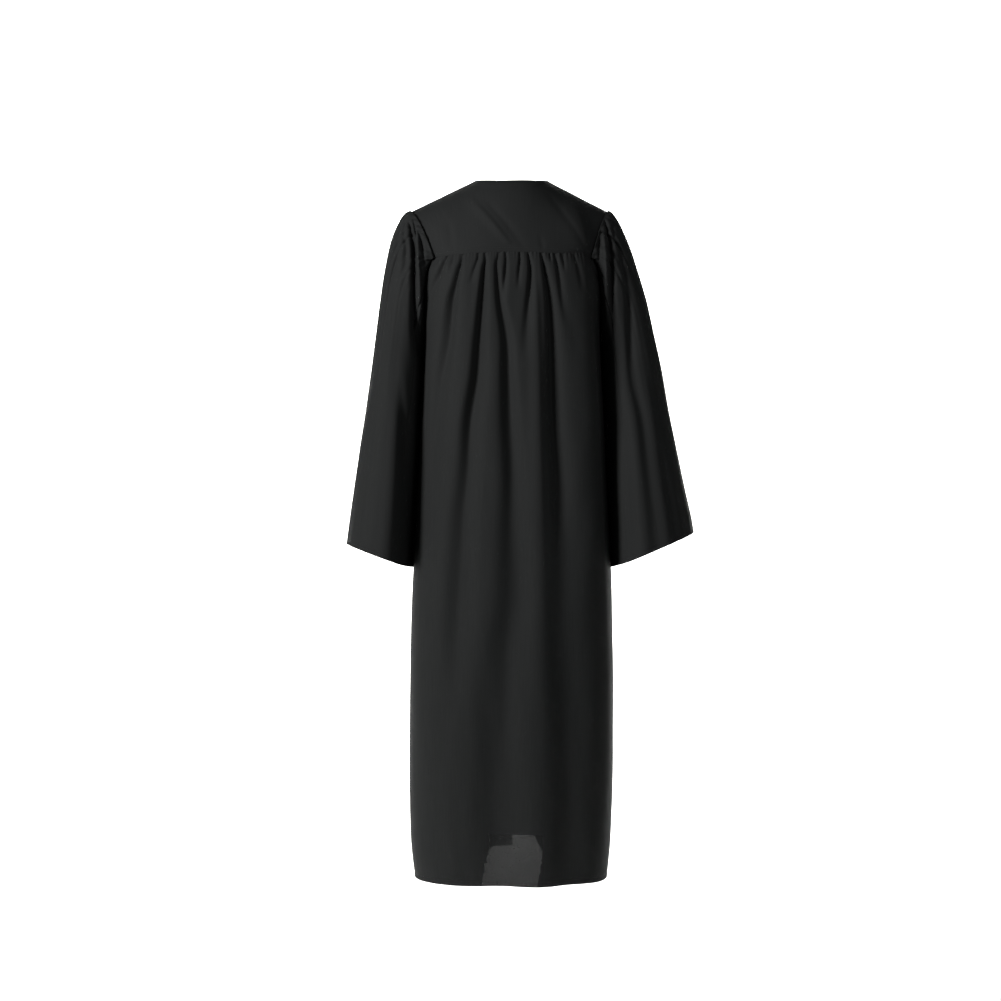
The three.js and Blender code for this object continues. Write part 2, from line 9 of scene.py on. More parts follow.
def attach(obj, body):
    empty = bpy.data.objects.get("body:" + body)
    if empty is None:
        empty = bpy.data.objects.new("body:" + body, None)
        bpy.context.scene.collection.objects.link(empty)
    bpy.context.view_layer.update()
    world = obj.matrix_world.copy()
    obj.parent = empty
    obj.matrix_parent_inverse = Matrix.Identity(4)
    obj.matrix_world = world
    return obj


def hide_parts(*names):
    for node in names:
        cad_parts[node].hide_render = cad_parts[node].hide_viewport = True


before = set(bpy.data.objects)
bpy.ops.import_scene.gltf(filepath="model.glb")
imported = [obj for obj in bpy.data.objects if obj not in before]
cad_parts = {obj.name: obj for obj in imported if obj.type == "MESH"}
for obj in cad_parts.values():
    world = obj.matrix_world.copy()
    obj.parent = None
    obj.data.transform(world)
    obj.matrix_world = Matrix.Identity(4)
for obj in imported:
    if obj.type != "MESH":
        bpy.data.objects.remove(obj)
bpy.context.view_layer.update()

# Back yoke: the smooth shoulder piece across the back, one layer of plain woven polyester with its neck edge
# and lower edge turned under. It carries the gathered back panel and, at its slanting ends, the sleeve heads.
MM = 0.001  # the sizes below are in millimetres, and Blender's are in metres
CLOTH = 0.6  # thickness
SIDES = ((1, "left"), (-1, "right"))  # the wearer's left is at +x
NECK_BACK = {"y": 58, "z": -8}
NECK_SIDE = {1: 72, -1: 65}  # from the centre line to each neck point
SHOULDER_TIP = {1: 200, -1: 185}
SHOULDER_DROP = 62
NECK_SHARE = 0.36  # of the yoke's upper edge, the part that is the neck
NECK_FADE = 0.12  # share over which the turned neck edge flattens out before the shoulder seam
CROWN = {"x": 0.45, "y": 0.88, "z": 0.14}  # how far a yoke has turned over the shoulder, from upper edge to lower
YOKE_SEAM_Z = -148
YOKE_SEAM_SAG = {"down": 6, "at": 145}  # the seam is this much lower that far from the centre line
YOKE_LAP = 3  # the yoke's turned edge covers the top of the gathers
YOKE_EDGE = 0.67  # how far round to the side a yoke reaches
SEAM_HALF = -0.05  # half the gap at a seam, where the edges of two pieces just meet
SQUARENESS = 2.5  # of the body's sections, where 2 would be an ellipse
NECK_CORNER = {"spread": 0.16, "over": 0.3, "samples": 7}  # how the neck points are rounded off
TURNED = {"dent_half": 1.7, "step": 1.5}  # the dent at a stitch row, and the step from double to single cloth
YOKE_ROLL = {"in": 1.2, "over": 1.8}  # a yoke's lower edge turns in over its last stretch
YOKE_LIFT = {"out": 0.5, "up_to": 7, "over": 5}  # and the seam allowance behind it lifts the cloth above that
FOLD_LEAD = 6  # a fold sets in this far above its first row
BACK_YOKE_CUT = {"across": 400, "down": 190}

# Sections of the body: half widths to the left and right, and half depths
BODY = [
    {"z": -60, "left": 168, "right": 167, "back": 96, "front": 92},
    {"z": -148, "left": 170, "right": 169, "back": 116, "front": 112},
    {"z": -200, "left": 171, "right": 170, "back": 124, "front": 121},
    {"z": -292, "left": 168, "right": 167, "back": 131, "front": 127},
    {"z": -460, "left": 177, "right": 175, "back": 137, "front": 132},
    {"z": -600, "left": 184, "right": 181, "back": 141, "front": 136},
    {"z": -800, "left": 194, "right": 189, "back": 146, "front": 140},
    {"z": -1060, "left": 199, "right": 192, "back": 150, "front": 143},
    {"z": -1260, "left": 196, "right": 188, "back": 149, "front": 141},
    {"z": -1345, "left": 188, "right": 179, "back": 146, "front": 138},
]

# Soft creases of the back yoke. Each row of a fold is z, x, how deep it is, and its reach to the left and right
FOLD_COLUMNS = ("z", "x", "deep", "left", "right")
BACK_YOKE_CREASES = [
    [
        (-34, 84, 0, 12, 8), (-57, 70, -1.8, 14, 7), (-83, 48, -2.6, 14, 6), (-109, 27, -2.6, 12, 5),
        (-134, 8, -1.4, 9, 5),
    ],
    [(-40, 56, 0, 7, 8), (-66, 38, 1.2, 7, 9), (-98, 12, 1.6, 7, 10), (-128, -9, 1, 6, 9), (-148, -22, 0.6, 6, 7)],
    [
        (-26, -62, 0, 8, 8), (-41, -72, 0.7, 9, 7), (-86, -102, 1.3, 9, 6), (-120, -123, 1.1, 8, 5),
        (-146, -138, 0.6, 6, 5),
    ],
    [(-45, -108, 0, 30, 12), (-75, -120, -4, 34, 13), (-112, -130, -6, 36, 13), (-148, -136, -3, 32, 12)],
    [(-80, 124, 0, 6, 6), (-105, 121, 1.3, 7, 7), (-140, 117, 1, 7, 7)],
    [(-86, 158, 0, 5, 5), (-108, 156, 0.9, 6, 6), (-130, 152, 0, 6, 6)],
    [(-112, -50, 0, 4, 4), (-132, -53, 1, 5, 5), (-148, -56, 1.2, 4, 4)],
]


def ease(t):
    t = np.clip(t, 0, 1)
    return t * t * (3 - 2 * t)


def curve(x, places, values):
    """A smooth curve through values at rising places, level past its ends."""
    places, values = np.array(places, float), np.array(values, float)
    last = len(places) - 1
    low = np.maximum(np.arange(last + 1) - 1, 0)
    high = np.minimum(np.arange(last + 1) + 1, last)
    slopes = (values[high] - values[low]) / (places[high] - places[low])
    i = np.clip(np.searchsorted(places, x) - 1, 0, last - 1)
    span = places[i + 1] - places[i]
    t = np.clip((x - places[i]) / span, 0, 1)
    rise = values[i + 1] - values[i]
    start, end = slopes[i] * span, slopes[i + 1] * span
    return values[i] + t * (start + t * (3 * rise - 2 * start - end + t * (start + end - 2 * rise)))


def section(z, side):
    """One measure of the body at height z."""
    return curve(-z, [-row["z"] for row in BODY], [row[side] for row in BODY])


def body_point(facing, around, z):
    """A point of the body: facing is 1 for the back and -1 for the front, around -1 to 1 from side to side."""
    half = np.where(around < 0, section(z, "right"), section(z, "left"))
    across = np.sin(around * pi / 2)
    out = np.maximum(0, 1 - np.abs(across) ** SQUARENESS) ** (1 / SQUARENESS)
    y = section(z, "back" if facing > 0 else "front") * out + SEAM_HALF
    return np.stack(np.broadcast_arrays(half * across, facing * y, z), -1)


def fold_depth(folds, x, z, soft=2.0, sharp=1.35, sharp_over=70):
    """How far folds take the cloth in at x, z. They are sharper near the seam that they fall from."""
    total = np.zeros_like(x)
    for fold in folds:
        row = dict(zip(FOLD_COLUMNS, np.array(fold, float).T))
        top, end = row["z"][0], row["z"][-1]
        centre, deep, left, right = (curve(-z, -row["z"], row[name]) for name in FOLD_COLUMNS[1:])
        away = np.abs(x - centre) / np.maximum(np.where(x > centre, left, right), 1)
        power = sharp + (soft - sharp) * ease((top - z) / sharp_over)
        inside = (z <= top + FOLD_LEAD) & (z >= end)
        sets_in = ease((top + FOLD_LEAD - z) / FOLD_LEAD)
        total += np.where(inside, deep * sets_in * np.exp(-(away**power)), 0)
    return total


def mirrored(side, u):
    """Place u on a piece of the right side, and its mirror image on the left, so that both face outwards."""
    return 1 - u if side > 0 else u


def swells(x, z, across, along, seed=0.0):
    """Low uneven swells, from -1 to 1, of that size across and along the cloth."""
    return np.array([noise.noise((a / across, seed, b / along)) for a, b in zip(x, z)])


def normals(base, u, v, step=1e-3):
    """Outward directions of a surface."""
    turned = np.cross(base(u + step, v) - base(u - step, v), base(u, v + step) - base(u, v - step))
    return turned / np.maximum(np.linalg.norm(turned, axis=-1, keepdims=True), 1e-9)


def laid(base, relief, lean=0.0):
    """A base surface taken in by its relief, as a function that gives points and outward directions.

    The relief runs along the normals, turned by lean towards straight fore and aft.
    """

    def surface(u, v):
        points, outward = base(u, v), normals(base, u, v)
        outward[:, 1] += lean * np.sign(points[:, 1]) * ease(np.abs(points[:, 1]) / 30)
        outward /= np.maximum(np.linalg.norm(outward, axis=-1, keepdims=True), 1e-9)
        return points - outward * relief(u, v)[:, None], outward

    return surface


def mesh_from(name, bm):
    mesh = bpy.data.meshes.new(name)
    bm.to_mesh(mesh)
    bm.free()
    return mesh


def add_object(name, data):
    obj = bpy.data.objects.new(name, data)
    bpy.context.scene.collection.objects.link(obj)
    return obj


def cloth_grid(name, columns, rows, surface, flat):
    """A grid of cloth on a surface, with its place on the flat cut cloth as UVs."""
    bm = bmesh.new()
    bmesh.ops.create_grid(bm, x_segments=columns, y_segments=rows, size=0.5)
    mesh = mesh_from(name, bm)
    co = np.empty(3 * len(mesh.vertices))
    mesh.vertices.foreach_get("co", co)
    u, v = co.reshape(-1, 3)[:, :2].T + 0.5
    points, _ = surface(u, v)
    mesh.vertices.foreach_set("co", (points * MM).ravel())
    corner = np.empty(len(mesh.loops), np.int32)
    mesh.loops.foreach_get("vertex_index", corner)
    cut = np.stack(flat(u, v), -1) * MM
    mesh.uv_layers.new(name="cut").data.foreach_set("uv", cut[corner].ravel())
    mesh.update()
    return add_object(name, mesh)


def give_wall(obj, thickness=CLOTH):
    """The sheet gets the cloth's thickness, with crisp cut edges."""
    wall = obj.modifiers.new("wall", "SOLIDIFY")
    wall.thickness = thickness * MM
    wall.offset = 0
    solid = bpy.data.meshes.new_from_object(obj.evaluated_get(bpy.context.evaluated_depsgraph_get()))
    obj.modifiers.clear()
    obj.data = solid
    solid.shade_smooth()
    solid.set_sharp_from_angle(angle=radians(75))


def linear(hex_colour, alpha=1.0):
    """An sRGB hex colour as Blender's linear RGBA."""
    srgb = np.array([int(hex_colour[i : i + 2], 16) for i in (1, 3, 5)]) / 255
    rgb = np.where(srgb <= 0.04045, srgb / 12.92, ((srgb + 0.055) / 1.055) ** 2.4)
    return (*rgb.tolist(), alpha)


def add_node(tree, kind, inputs, **settings):
    """A node with its settings, and its inputs set to values or linked to sockets."""
    node = tree.nodes.new(kind)
    for key, value in settings.items():
        setattr(node, key, value)
    for socket, value in inputs.items():
        if isinstance(value, bpy.types.NodeSocket):
            tree.links.new(value, node.inputs[socket])
        else:
            node.inputs[socket].default_value = value
    return node


# Woven polyester, piece-dyed black: quite matte, so that its folds show as soft steps of grey, with fine warp
# streaks. Its threads are 0.25 mm apart, too fine to show here, so the weave is drawn at 0.8 mm.
CLOTH_COLOUR = "#262727"
CLOTH_STREAK = "#2d2e2e"
THREAD = 0.8
STREAK = {"across": 1.4, "along": 60}
SLUB = 3  # uneven threads show as flecks of about this size where light comes through
COVER = (0.86, 0.94)  # how much of the light each face of the wall stops there
WAVE_TURN = 20  # Blender's wave texture turns this many radians over one unit


def colour_between(tree, shader, texture, dark, light):
    """The base colour runs between two hex colours, as the texture does."""
    colour = add_node(
        tree,
        "ShaderNodeMix",
        {"Factor": texture.outputs["Fac"], "A": linear(dark), "B": linear(light)},
        data_type="RGBA",
    )
    tree.links.new(colour.outputs["Result"], shader.inputs["Base Color"])


def vary_input(tree, shader, socket, texture, given, wanted):
    """An input of the shader runs over the wanted range while the texture runs over the given one."""
    ranges = {"From Min": given[0], "From Max": given[1], "To Min": wanted[0], "To Max": wanted[1]}
    varied = add_node(tree, "ShaderNodeMapRange", {"Value": texture.outputs["Fac"], **ranges})
    tree.links.new(varied.outputs["Result"], shader.inputs[socket])


def new_material(name, inputs):
    """A material with inputs of its shader set, as the material, its node tree and that shader."""
    material = bpy.data.materials.new(name)
    material.use_nodes = True
    shader = material.node_tree.nodes["Principled BSDF"]
    for socket, value in inputs.items():
        shader.inputs[socket].default_value = value
    return material, material.node_tree, shader


def woven_polyester(name, see_through=False):
    material, tree, shader = new_material(name, {"Roughness": 0.7, "Specular IOR Level": 0.04})
    cut = add_node(tree, "ShaderNodeUVMap", {}, uv_map="cut").outputs["UV"]
    stretched = add_node(
        tree,
        "ShaderNodeMapping",
        {"Vector": cut, "Scale": (1 / (STREAK["across"] * MM), 1 / (STREAK["along"] * MM), 1)},
    )
    streaks = add_node(tree, "ShaderNodeTexNoise", {"Vector": stretched.outputs["Vector"], "Scale": 1, "Detail": 3})
    colour_between(tree, shader, streaks, CLOTH_COLOUR, CLOTH_STREAK)
    scale = 2 * pi / (WAVE_TURN * THREAD * MM)
    warp, weft = (
        add_node(tree, "ShaderNodeTexWave", {"Vector": cut, "Scale": scale}, bands_direction=along)
        for along in ("X", "Y")
    )
    weave = add_node(
        tree,
        "ShaderNodeMath",
        {0: warp.outputs["Fac"], 1: weft.outputs["Fac"]},
        operation="MULTIPLY",
    )
    bump = add_node(
        tree,
        "ShaderNodeBump",
        {"Height": weave.outputs["Value"], "Strength": 0.25, "Distance": 0.0001},
    )
    tree.links.new(bump.outputs["Normal"], shader.inputs["Normal"])
    if see_through:
        slubs = add_node(
            tree, "ShaderNodeTexNoise", {"Vector": cut, "Scale": 1 / (SLUB * MM), "Detail": 2, "Roughness": 0.7}
        )
        vary_input(tree, shader, "Alpha", slubs, (0.3, 0.7), COVER)
    return material


def mottled(name, noise_inputs, dark, light, inputs):
    """A material that varies unevenly between two hex colours, with its tree, shader and noise."""
    material, tree, shader = new_material(name, inputs)
    place = add_node(tree, "ShaderNodeTexCoord", {}).outputs["Object"]
    spots = add_node(tree, "ShaderNodeTexNoise", {"Vector": place, **noise_inputs})
    colour_between(tree, shader, spots, dark, light)
    return material, tree, shader, spots


gown_cloth = woven_polyester("woven polyester")


def as_cloth(obj, node):
    """Makes a finished sheet the cloth of a CAD node."""
    give_wall(obj)
    obj.data.materials.append(gown_cloth)
    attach(obj, "gown")
    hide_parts(node)


# Stitches: lockstitches of spun polyester thread, small hard dashes a little glossier than the cloth. Each lies
# on the cloth, along its row.
STITCH = {"pitch": 3.2, "half_length": 1.15, "half_width": 0.3, "half_height": 0.25, "lift": 0.05}
sewing_thread, *_ = mottled(
    "spun polyester thread",
    {"Scale": 900, "Detail": 1},
    "#1f2020",
    "#323333",
    {"Roughness": 0.5, "Specular IOR Level": 0.2},
)


def sew(name, surface, rows):
    """Rows of stitches on a surface. Each row is the places u, v that it runs through."""
    bm = bmesh.new()
    for u, v in rows:
        points, outward = surface(*np.broadcast_arrays(u, v))
        run = np.concatenate([[0], np.cumsum(np.linalg.norm(np.diff(points, axis=0), axis=-1))])
        for at in np.arange(STITCH["pitch"] / 2, run[-1], STITCH["pitch"]):
            spot, start, end, up = (
                Vector([np.interp(where, run, values[:, k]) for k in range(3)])
                for where, values in ((at, points), (at - 1, points), (at + 1, points), (at, outward))
            )
            along = (end - start).normalized()
            side = along.cross(up).normalized()
            axes = (
                along * STITCH["half_length"],
                side * STITCH["half_width"],
                side.cross(along) * STITCH["half_height"],
            )
            turn = Matrix([[axis[k] for axis in axes] for k in range(3)]).to_4x4()
            place = Matrix.Translation((spot + up * (CLOTH / 2 + STITCH["lift"])) * MM)
            bmesh.ops.create_icosphere(bm, subdivisions=1, radius=MM, matrix=place @ turn)
    bmesh.ops.recalc_face_normals(bm, faces=bm.faces)
    mesh = mesh_from(name, bm)
    mesh.shade_smooth()
    mesh.materials.append(sewing_thread)
    obj = add_object(name, mesh)
    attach(obj, "gown")


def stitch_row(short):
    """Places along a row of stitches that stops that share short of both ends."""
    return short + (1 - 2 * short) * np.linspace(0, 1, 160)


def back_yoke_upper(a):
    """The yoke's upper edge: down one shoulder seam, round the back of the neck and down the other."""
    out, side = np.abs(a), np.where(a < 0, -1, 1)
    neck = np.where(a < 0, NECK_SIDE[-1], NECK_SIDE[1])
    tip = np.where(a < 0, SHOULDER_TIP[-1], SHOULDER_TIP[1])
    along = np.maximum(out - NECK_SHARE, 0) / (1 - NECK_SHARE)
    turn = np.minimum(out / NECK_SHARE, 1) * pi / 2
    x = np.where(out > NECK_SHARE, neck + (tip - neck) * along, neck * np.sin(turn))
    y = SEAM_HALF + NECK_BACK["y"] * np.cos(turn)
    z = np.where(out > NECK_SHARE, -SHOULDER_DROP * along, NECK_BACK["z"] * np.cos(turn))
    return np.stack([side * x, y, z], -1)


def seam_sag(x):
    return YOKE_SEAM_SAG["down"] * (x / YOKE_SEAM_SAG["at"]) ** 2


def yoke_seam_z(x):
    return YOKE_SEAM_Z - seam_sag(x)


def yoke_surface(upper, lower, t):
    """From an upper edge to a lower one, rounded over the shoulder."""
    crown = upper + (lower - upper) * np.array([CROWN["x"], CROWN["y"], CROWN["z"]])
    t = t[:, None]
    return upper * (1 - t) ** 2 + crown * 2 * t * (1 - t) + lower * t**2


def yoke_lower(facing, around):
    """A yoke's lower edge, which laps over the gathered panel below it."""
    lower = body_point(facing, around, YOKE_SEAM_Z)
    lower[..., 2] = yoke_seam_z(lower[..., 0]) - YOKE_LAP
    lower[..., 1] += facing * CLOTH
    return lower


def back_yoke_base(u, v):
    """The back yoke. Below its upper edge, the corner at each neck point is rounded off."""
    a = 2 * u - 1
    over = NECK_CORNER["over"]
    spread = NECK_CORNER["spread"] * ease(v / over) * ease((1 - np.abs(a)) / over)
    shifts = np.linspace(-1, 1, NECK_CORNER["samples"])
    upper = np.mean([back_yoke_upper(a + shift * spread) for shift in shifts], axis=0)
    return yoke_surface(upper, yoke_lower(1, a * YOKE_EDGE), v)


def turned_edge(distance, width=7.0, rise=0.45, dent=0.35):
    """Relief of an edge that is turned under and stitched down: double cloth, with a small dent at the stitches."""
    stitched = np.exp(-(((distance - width) / TURNED["dent_half"]) ** 2))
    return -rise * (1 - ease((distance - width) / TURNED["step"])) + dent * stitched


def yoke_edge(seam):
    """Relief of a yoke's lower edge at that height above it."""
    rolled = YOKE_ROLL["in"] * ease((YOKE_ROLL["over"] - seam) / YOKE_ROLL["over"])
    return rolled - YOKE_LIFT["out"] * ease((YOKE_LIFT["up_to"] - seam) / YOKE_LIFT["over"])


def back_yoke_relief(u, v):
    point = back_yoke_base(u, v)
    x, z = point[:, 0], point[:, 2]
    seam = z - (yoke_seam_z(x) - YOKE_LAP)
    creases = fold_depth(BACK_YOKE_CREASES, x, z, sharp=1.8) * ease((seam - 2) / 10)
    from_neck = np.linalg.norm(point - back_yoke_base(u, np.zeros_like(v)), axis=-1)
    neck = turned_edge(from_neck) * (1 - ease((np.abs(2 * u - 1) - NECK_SHARE) / NECK_FADE + 1))
    return creases + neck + yoke_edge(seam) + 0.5 * swells(x, z, 38, 52)


back_yoke_surface = laid(back_yoke_base, back_yoke_relief)
back_yoke = cloth_grid(
    "back_yoke_cloth",
    150,
    70,
    back_yoke_surface,
    lambda u, v: (BACK_YOKE_CUT["across"] * u, BACK_YOKE_CUT["down"] * v),
)
as_cloth(back_yoke, "back_yoke")
NECK_ROW = 0.048  # share of the yoke's length down to the stitch row of its neck edge
YOKE_ROW = 0.965  # and down to the row above its lower edge
neck_row = stitch_row(0.5 - NECK_SHARE / 2)
sew("back_yoke_stitches", back_yoke_surface, [(neck_row, NECK_ROW), (stitch_row(0.01), YOKE_ROW)])

# Front yokes: two pieces that meet the back yoke along the shoulder seams. Their inner edges fall from the neck
# to the top of the zip and make the V of the neckline.
ZIP = {"top": -154, "bottom": -1148, "half": 7}
FRONT_YOKE_CUT = {"across": 150, "down": 170}
FRONT_EDGE_ROW = 0.05  # share of a front yoke's width out to the stitch row of its inner edge


def around_at(side, out, z):
    """How far round the body a distance out from the centre line lies."""
    return np.arcsin(out / section(z, "left" if side > 0 else "right")) / (pi / 2)


def front_yoke_base(side):
    inner = around_at(side, ZIP["half"], YOKE_SEAM_Z)

    def base(u, v):
        out = mirrored(side, u)
        upper = np.stack(
            [
                side * (NECK_SIDE[side] + (SHOULDER_TIP[side] - NECK_SIDE[side]) * out),
                np.full_like(out, -SEAM_HALF),
                -SHOULDER_DROP * out,
            ],
            -1,
        )
        return yoke_surface(upper, yoke_lower(-1, side * (inner + (YOKE_EDGE - inner) * out)), v)

    return base


for side, name in SIDES:
    base = front_yoke_base(side)

    def relief(u, v):
        point = base(u, v)
        x, z = point[:, 0], point[:, 2]
        seam = z - (yoke_seam_z(x) - YOKE_LAP)
        inner_edge = base(np.full_like(u, mirrored(side, 0.0)), v)
        edge = turned_edge(np.linalg.norm(point - inner_edge, axis=-1))
        return edge + yoke_edge(seam) + 0.8 * swells(x, z, 30, 44, seed=3.0 + side)

    surface = laid(base, relief)
    yoke = cloth_grid(
        f"front_yoke_{name}_cloth",
        70,
        60,
        surface,
        lambda u, v: (FRONT_YOKE_CUT["across"] * u, FRONT_YOKE_CUT["down"] * v),
    )
    as_cloth(yoke, f"front_yoke_{name}")
    rows = [(mirrored(side, FRONT_EDGE_ROW), stitch_row(0.02)), (stitch_row(0.02), YOKE_ROW)]
    sew(f"front_yoke_{name}_stitches", surface, rows)

# Back panel: one full width, its top edge drawn up from about 430 mm to the 290 mm of the yoke. The gathers fall
# in soft flutes, a few of which run down to the hem. The hem is turned up and stitched.
BACK_HEM_Z = -1337
UNDERARM_Z = -292
ARMHOLE = [(-148, 0.67), (-168, 0.79), (-205, 0.88), (-250, 0.95), (-292, 1)]  # z, how far round its edge lies
EDGE_CALM = 22  # folds die out this near to a side edge
TUCK = 4  # the gathered edge reaches this far up behind the yoke
HEM_DROP = 1189  # from the yoke seam down to the hem
BACK_CUT = {"top": 430, "flare": 130}  # width at the gathers, and how much more at the hem
SAG_GONE = 300  # this far below the yoke seam, the cloth no longer follows its sag

# Shares of the grid's rows down to each drop below the yoke seam, so that the rows lie closer in the gathers
DROP_SHARES = {"share": (0, 0.3, 0.56, 0.94, 1), "drop": (-TUCK, 62, 250, 1163, HEM_DROP)}

# Folds of the back, in the columns of the creases above. Those with negative depths are ridges
BACK_FOLDS = [
    [(-150, 145, 2, 2.5, 2.5), (-162, 146, 3, 3, 3), (-176, 150, 0, 3, 3)],
    [
        (-150, 123, 3, 2.5, 2.5), (-166, 130, 6, 3, 3.5), (-181, 136, 7, 3.5, 5), (-204, 146, 6, 5, 7),
        (-232, 155, 3, 6, 8), (-258, 162, 0, 7, 8),
    ],
    [(-150, 114, 2.5, 2.5, 2.5), (-166, 114, 3.5, 2.5, 3), (-190, 118, 0, 4, 4)],
    [
        (-150, 95, 3, 2.5, 3), (-166, 97, 6, 3, 3.5), (-181, 101, 9, 4, 5), (-210, 109, 11, 5, 8),
        (-240, 118, 13, 6, 12), (-314, 127, 13, 9, 15), (-388, 140, 11, 10, 18), (-463, 147, 8, 10, 22),
        (-556, 155, 5, 10, 24), (-650, 162, 0, 10, 24),
    ],
    [(-150, 65, 3, 2.5, 3), (-166, 67, 4.5, 2.5, 4), (-185, 73, 3.5, 3, 5), (-215, 80, 0, 5, 7)],
    [
        (-150, 53, 3, 2.5, 3), (-166, 52, 7, 3, 3.5), (-181, 54.5, 10, 3.5, 5), (-240, 60.5, 14, 5, 10),
        (-314, 67, 16, 7, 14), (-388, 73, 17, 8, 18), (-463, 84, 17, 10, 22), (-556, 88, 15, 13, 28),
        (-650, 96, 12, 16, 32), (-800, 103, 11, 20, 36), (-950, 112, 6, 26, 38), (-1100, 118, 0, 28, 38),
    ],
    [
        (-150, 26, 2.5, 2.5, 2.5), (-166, 30, 5, 3, 3), (-181, 31.5, 7, 3, 4), (-240, 27, 10, 5, 8),
        (-314, 14, 13, 9, 11), (-388, 11, 15, 11, 13), (-463, 7, 15, 14, 17), (-556, 2, 14, 17, 20),
        (-650, 2, 13, 20, 24), (-800, -2, 12, 26, 28), (-890, 10, 12, 32, 30), (-1025, 24, 12, 38, 36),
        (-1160, 30, 12, 42, 42), (-1340, 32, 10, 44, 46),
    ],
    [
        (-150, 15, 2.5, 2, 2.5), (-166, 13.5, 5, 2.5, 3), (-188, 15, 6, 3, 4), (-215, 17, 4, 4, 5),
        (-245, 19, 0, 5, 6),
    ],
    [(-150, -12, 3, 2.5, 2.5), (-166, -12.5, 5.5, 2.5, 3), (-185, -11, 5, 3, 3.5), (-225, -9, 0, 4, 5)],
    [
        (-150, -27, 3.5, 2.5, 2.5), (-166, -30, 7, 3, 3.5), (-185, -32, 9, 3.5, 4), (-220, -31, 8, 5, 5),
        (-252, -28, 6, 6, 6), (-314, -24, 3, 9, 9), (-360, -22, 0, 10, 10),
    ],
    [
        (-200, -42, 0, 6, 6), (-240, -43, -3, 7, 6), (-360, -45, -5, 14, 8), (-560, -48, -6, 18, 11),
        (-800, -52, -6, 26, 16), (-1000, -50, -6, 30, 22), (-1340, -48, -5, 34, 28),
    ],
    [
        (-150, -52, 3.5, 2.5, 3), (-166, -55, 7, 3, 4), (-181, -57.5, 10, 3.5, 6), (-240, -67, 14, 6, 9),
        (-314, -72, 16, 8, 14), (-388, -74, 17, 10, 16), (-463, -77, 17, 11, 18), (-556, -85, 16, 13, 20),
        (-650, -89, 13, 15, 24), (-720, -92, 9, 18, 28), (-800, -95, 7, 22, 32), (-987, -103, 10, 26, 36),
        (-1161, -110, 9, 32, 40), (-1340, -112, 8, 38, 46),
    ],
    [(-150, -68, 2.5, 2.5, 2.5), (-160, -69, 3, 2.5, 2.5), (-172, -70, 0, 3, 3)],
    [
        (-150, -78, 3, 2.5, 2.5), (-166, -80, 6, 3, 3.5), (-185, -83, 6, 3.5, 5), (-240, -91, 3.5, 5, 8),
        (-300, -102, 0, 8, 10),
    ],
    [(-150, -92, 3, 2.5, 2.5), (-166, -93, 3.5, 2.5, 3), (-190, -95, 0, 3, 4)],
    [(-150, -113, 2, 2.5, 2.5), (-170, -116, 3, 3, 3.5), (-195, -121, 2.5, 4, 5), (-230, -126, 0, 5, 6)],
    [
        (-150, -145, 3, 2.5, 2.5), (-166, -147, 5, 3, 2.5), (-185, -155, 5, 4, 3), (-210, -164, 2, 4, 4),
        (-235, -168, 0, 4, 4),
    ],
    [(-250, -106, 0, 6, 8), (-314, -113, 0.8, 7, 9), (-380, -119, 0, 9, 10)],
    [
        (-150, -134, -3, 30, 12), (-185, -128, -5, 30, 13), (-240, -132, -8, 30, 13),
        (-340, -142, -14, 38, 13), (-463, -148, -17, 42, 13), (-650, -156, -14, 44, 14),
        (-760, -163, -10, 46, 16), (-900, -168, -8, 46, 16), (-1060, -168, -7, 46, 16),
        (-1340, -162, -5, 46, 18),
    ],
]
PUCKER = {"pitch": 6.5, "deep": 0.8, "fades_over": 13, "uneven": 0.9, "uneven_over": 17}
BLOOM = {"out": 4.5, "over": 26, "gone": 150}  # how the cloth swells out below the seam
TUCKED_IN = {"deep": 1.2, "over": 4}  # and its top edge goes in under the yoke
SWELL = {"across": 30, "along": 150, "sets_in_over": 60}
HEM = {"width": 9, "rise": 0.3, "dent": 0.8}
HEM_SHORT = 0.004  # a hem's stitches stop this share short of its ends
SINGLE = {  # the edges of the single layer, from its top down to the hem
    "top": -1234,
    "left": {"from": 0.3, "x": (46, 60)},
    "right": {"from": 0.5, "x": (-54, -44)},
}


def armhole_edge(z):
    return curve(-z, [-place for place, _ in ARMHOLE], [edge for _, edge in ARMHOLE])


def drop_at(v):
    return np.interp(v, DROP_SHARES["share"], DROP_SHARES["drop"])


def share_at(drop):
    return np.interp(drop, DROP_SHARES["drop"], DROP_SHARES["share"])


def upper_sag(x, drop):
    """How far the cloth below the yoke seam follows its sag."""
    return seam_sag(x) * (1 - ease(drop / SAG_GONE))


def back_base(u, v):
    z = YOKE_SEAM_Z - drop_at(v)
    around = (2 * u - 1) * armhole_edge(np.minimum(z, YOKE_SEAM_Z))
    point = body_point(1, around, z)
    point[:, 2] -= upper_sag(point[:, 0], drop_at(v))
    return point


def gathers(x, drop, seed):
    """Fine puckers right under a seam, where the full edge is drawn up."""
    shift = PUCKER["uneven"] * swells(x, np.zeros_like(x), PUCKER["uneven_over"], 1, seed)
    turns = x / PUCKER["pitch"] + shift
    return PUCKER["deep"] * np.sin(2 * pi * turns) * np.exp(-np.maximum(drop, 0) / PUCKER["fades_over"])


def bloom(drop):
    """The cloth comes out from under the yoke and swells out below it."""
    swell = ease((drop + 1) / BLOOM["over"]) * (1 - ease((drop - BLOOM["over"]) / BLOOM["gone"]))
    return -BLOOM["out"] * swell + TUCKED_IN["deep"] * (1 - ease((drop + 1) / TUCKED_IN["over"]))


def sway(deep, x, z, drop, seed=0.0):
    """Slow swells of the hanging cloth, which set in below the gathers."""
    return deep * swells(x, z, SWELL["across"], SWELL["along"], seed) * ease(drop / SWELL["sets_in_over"])


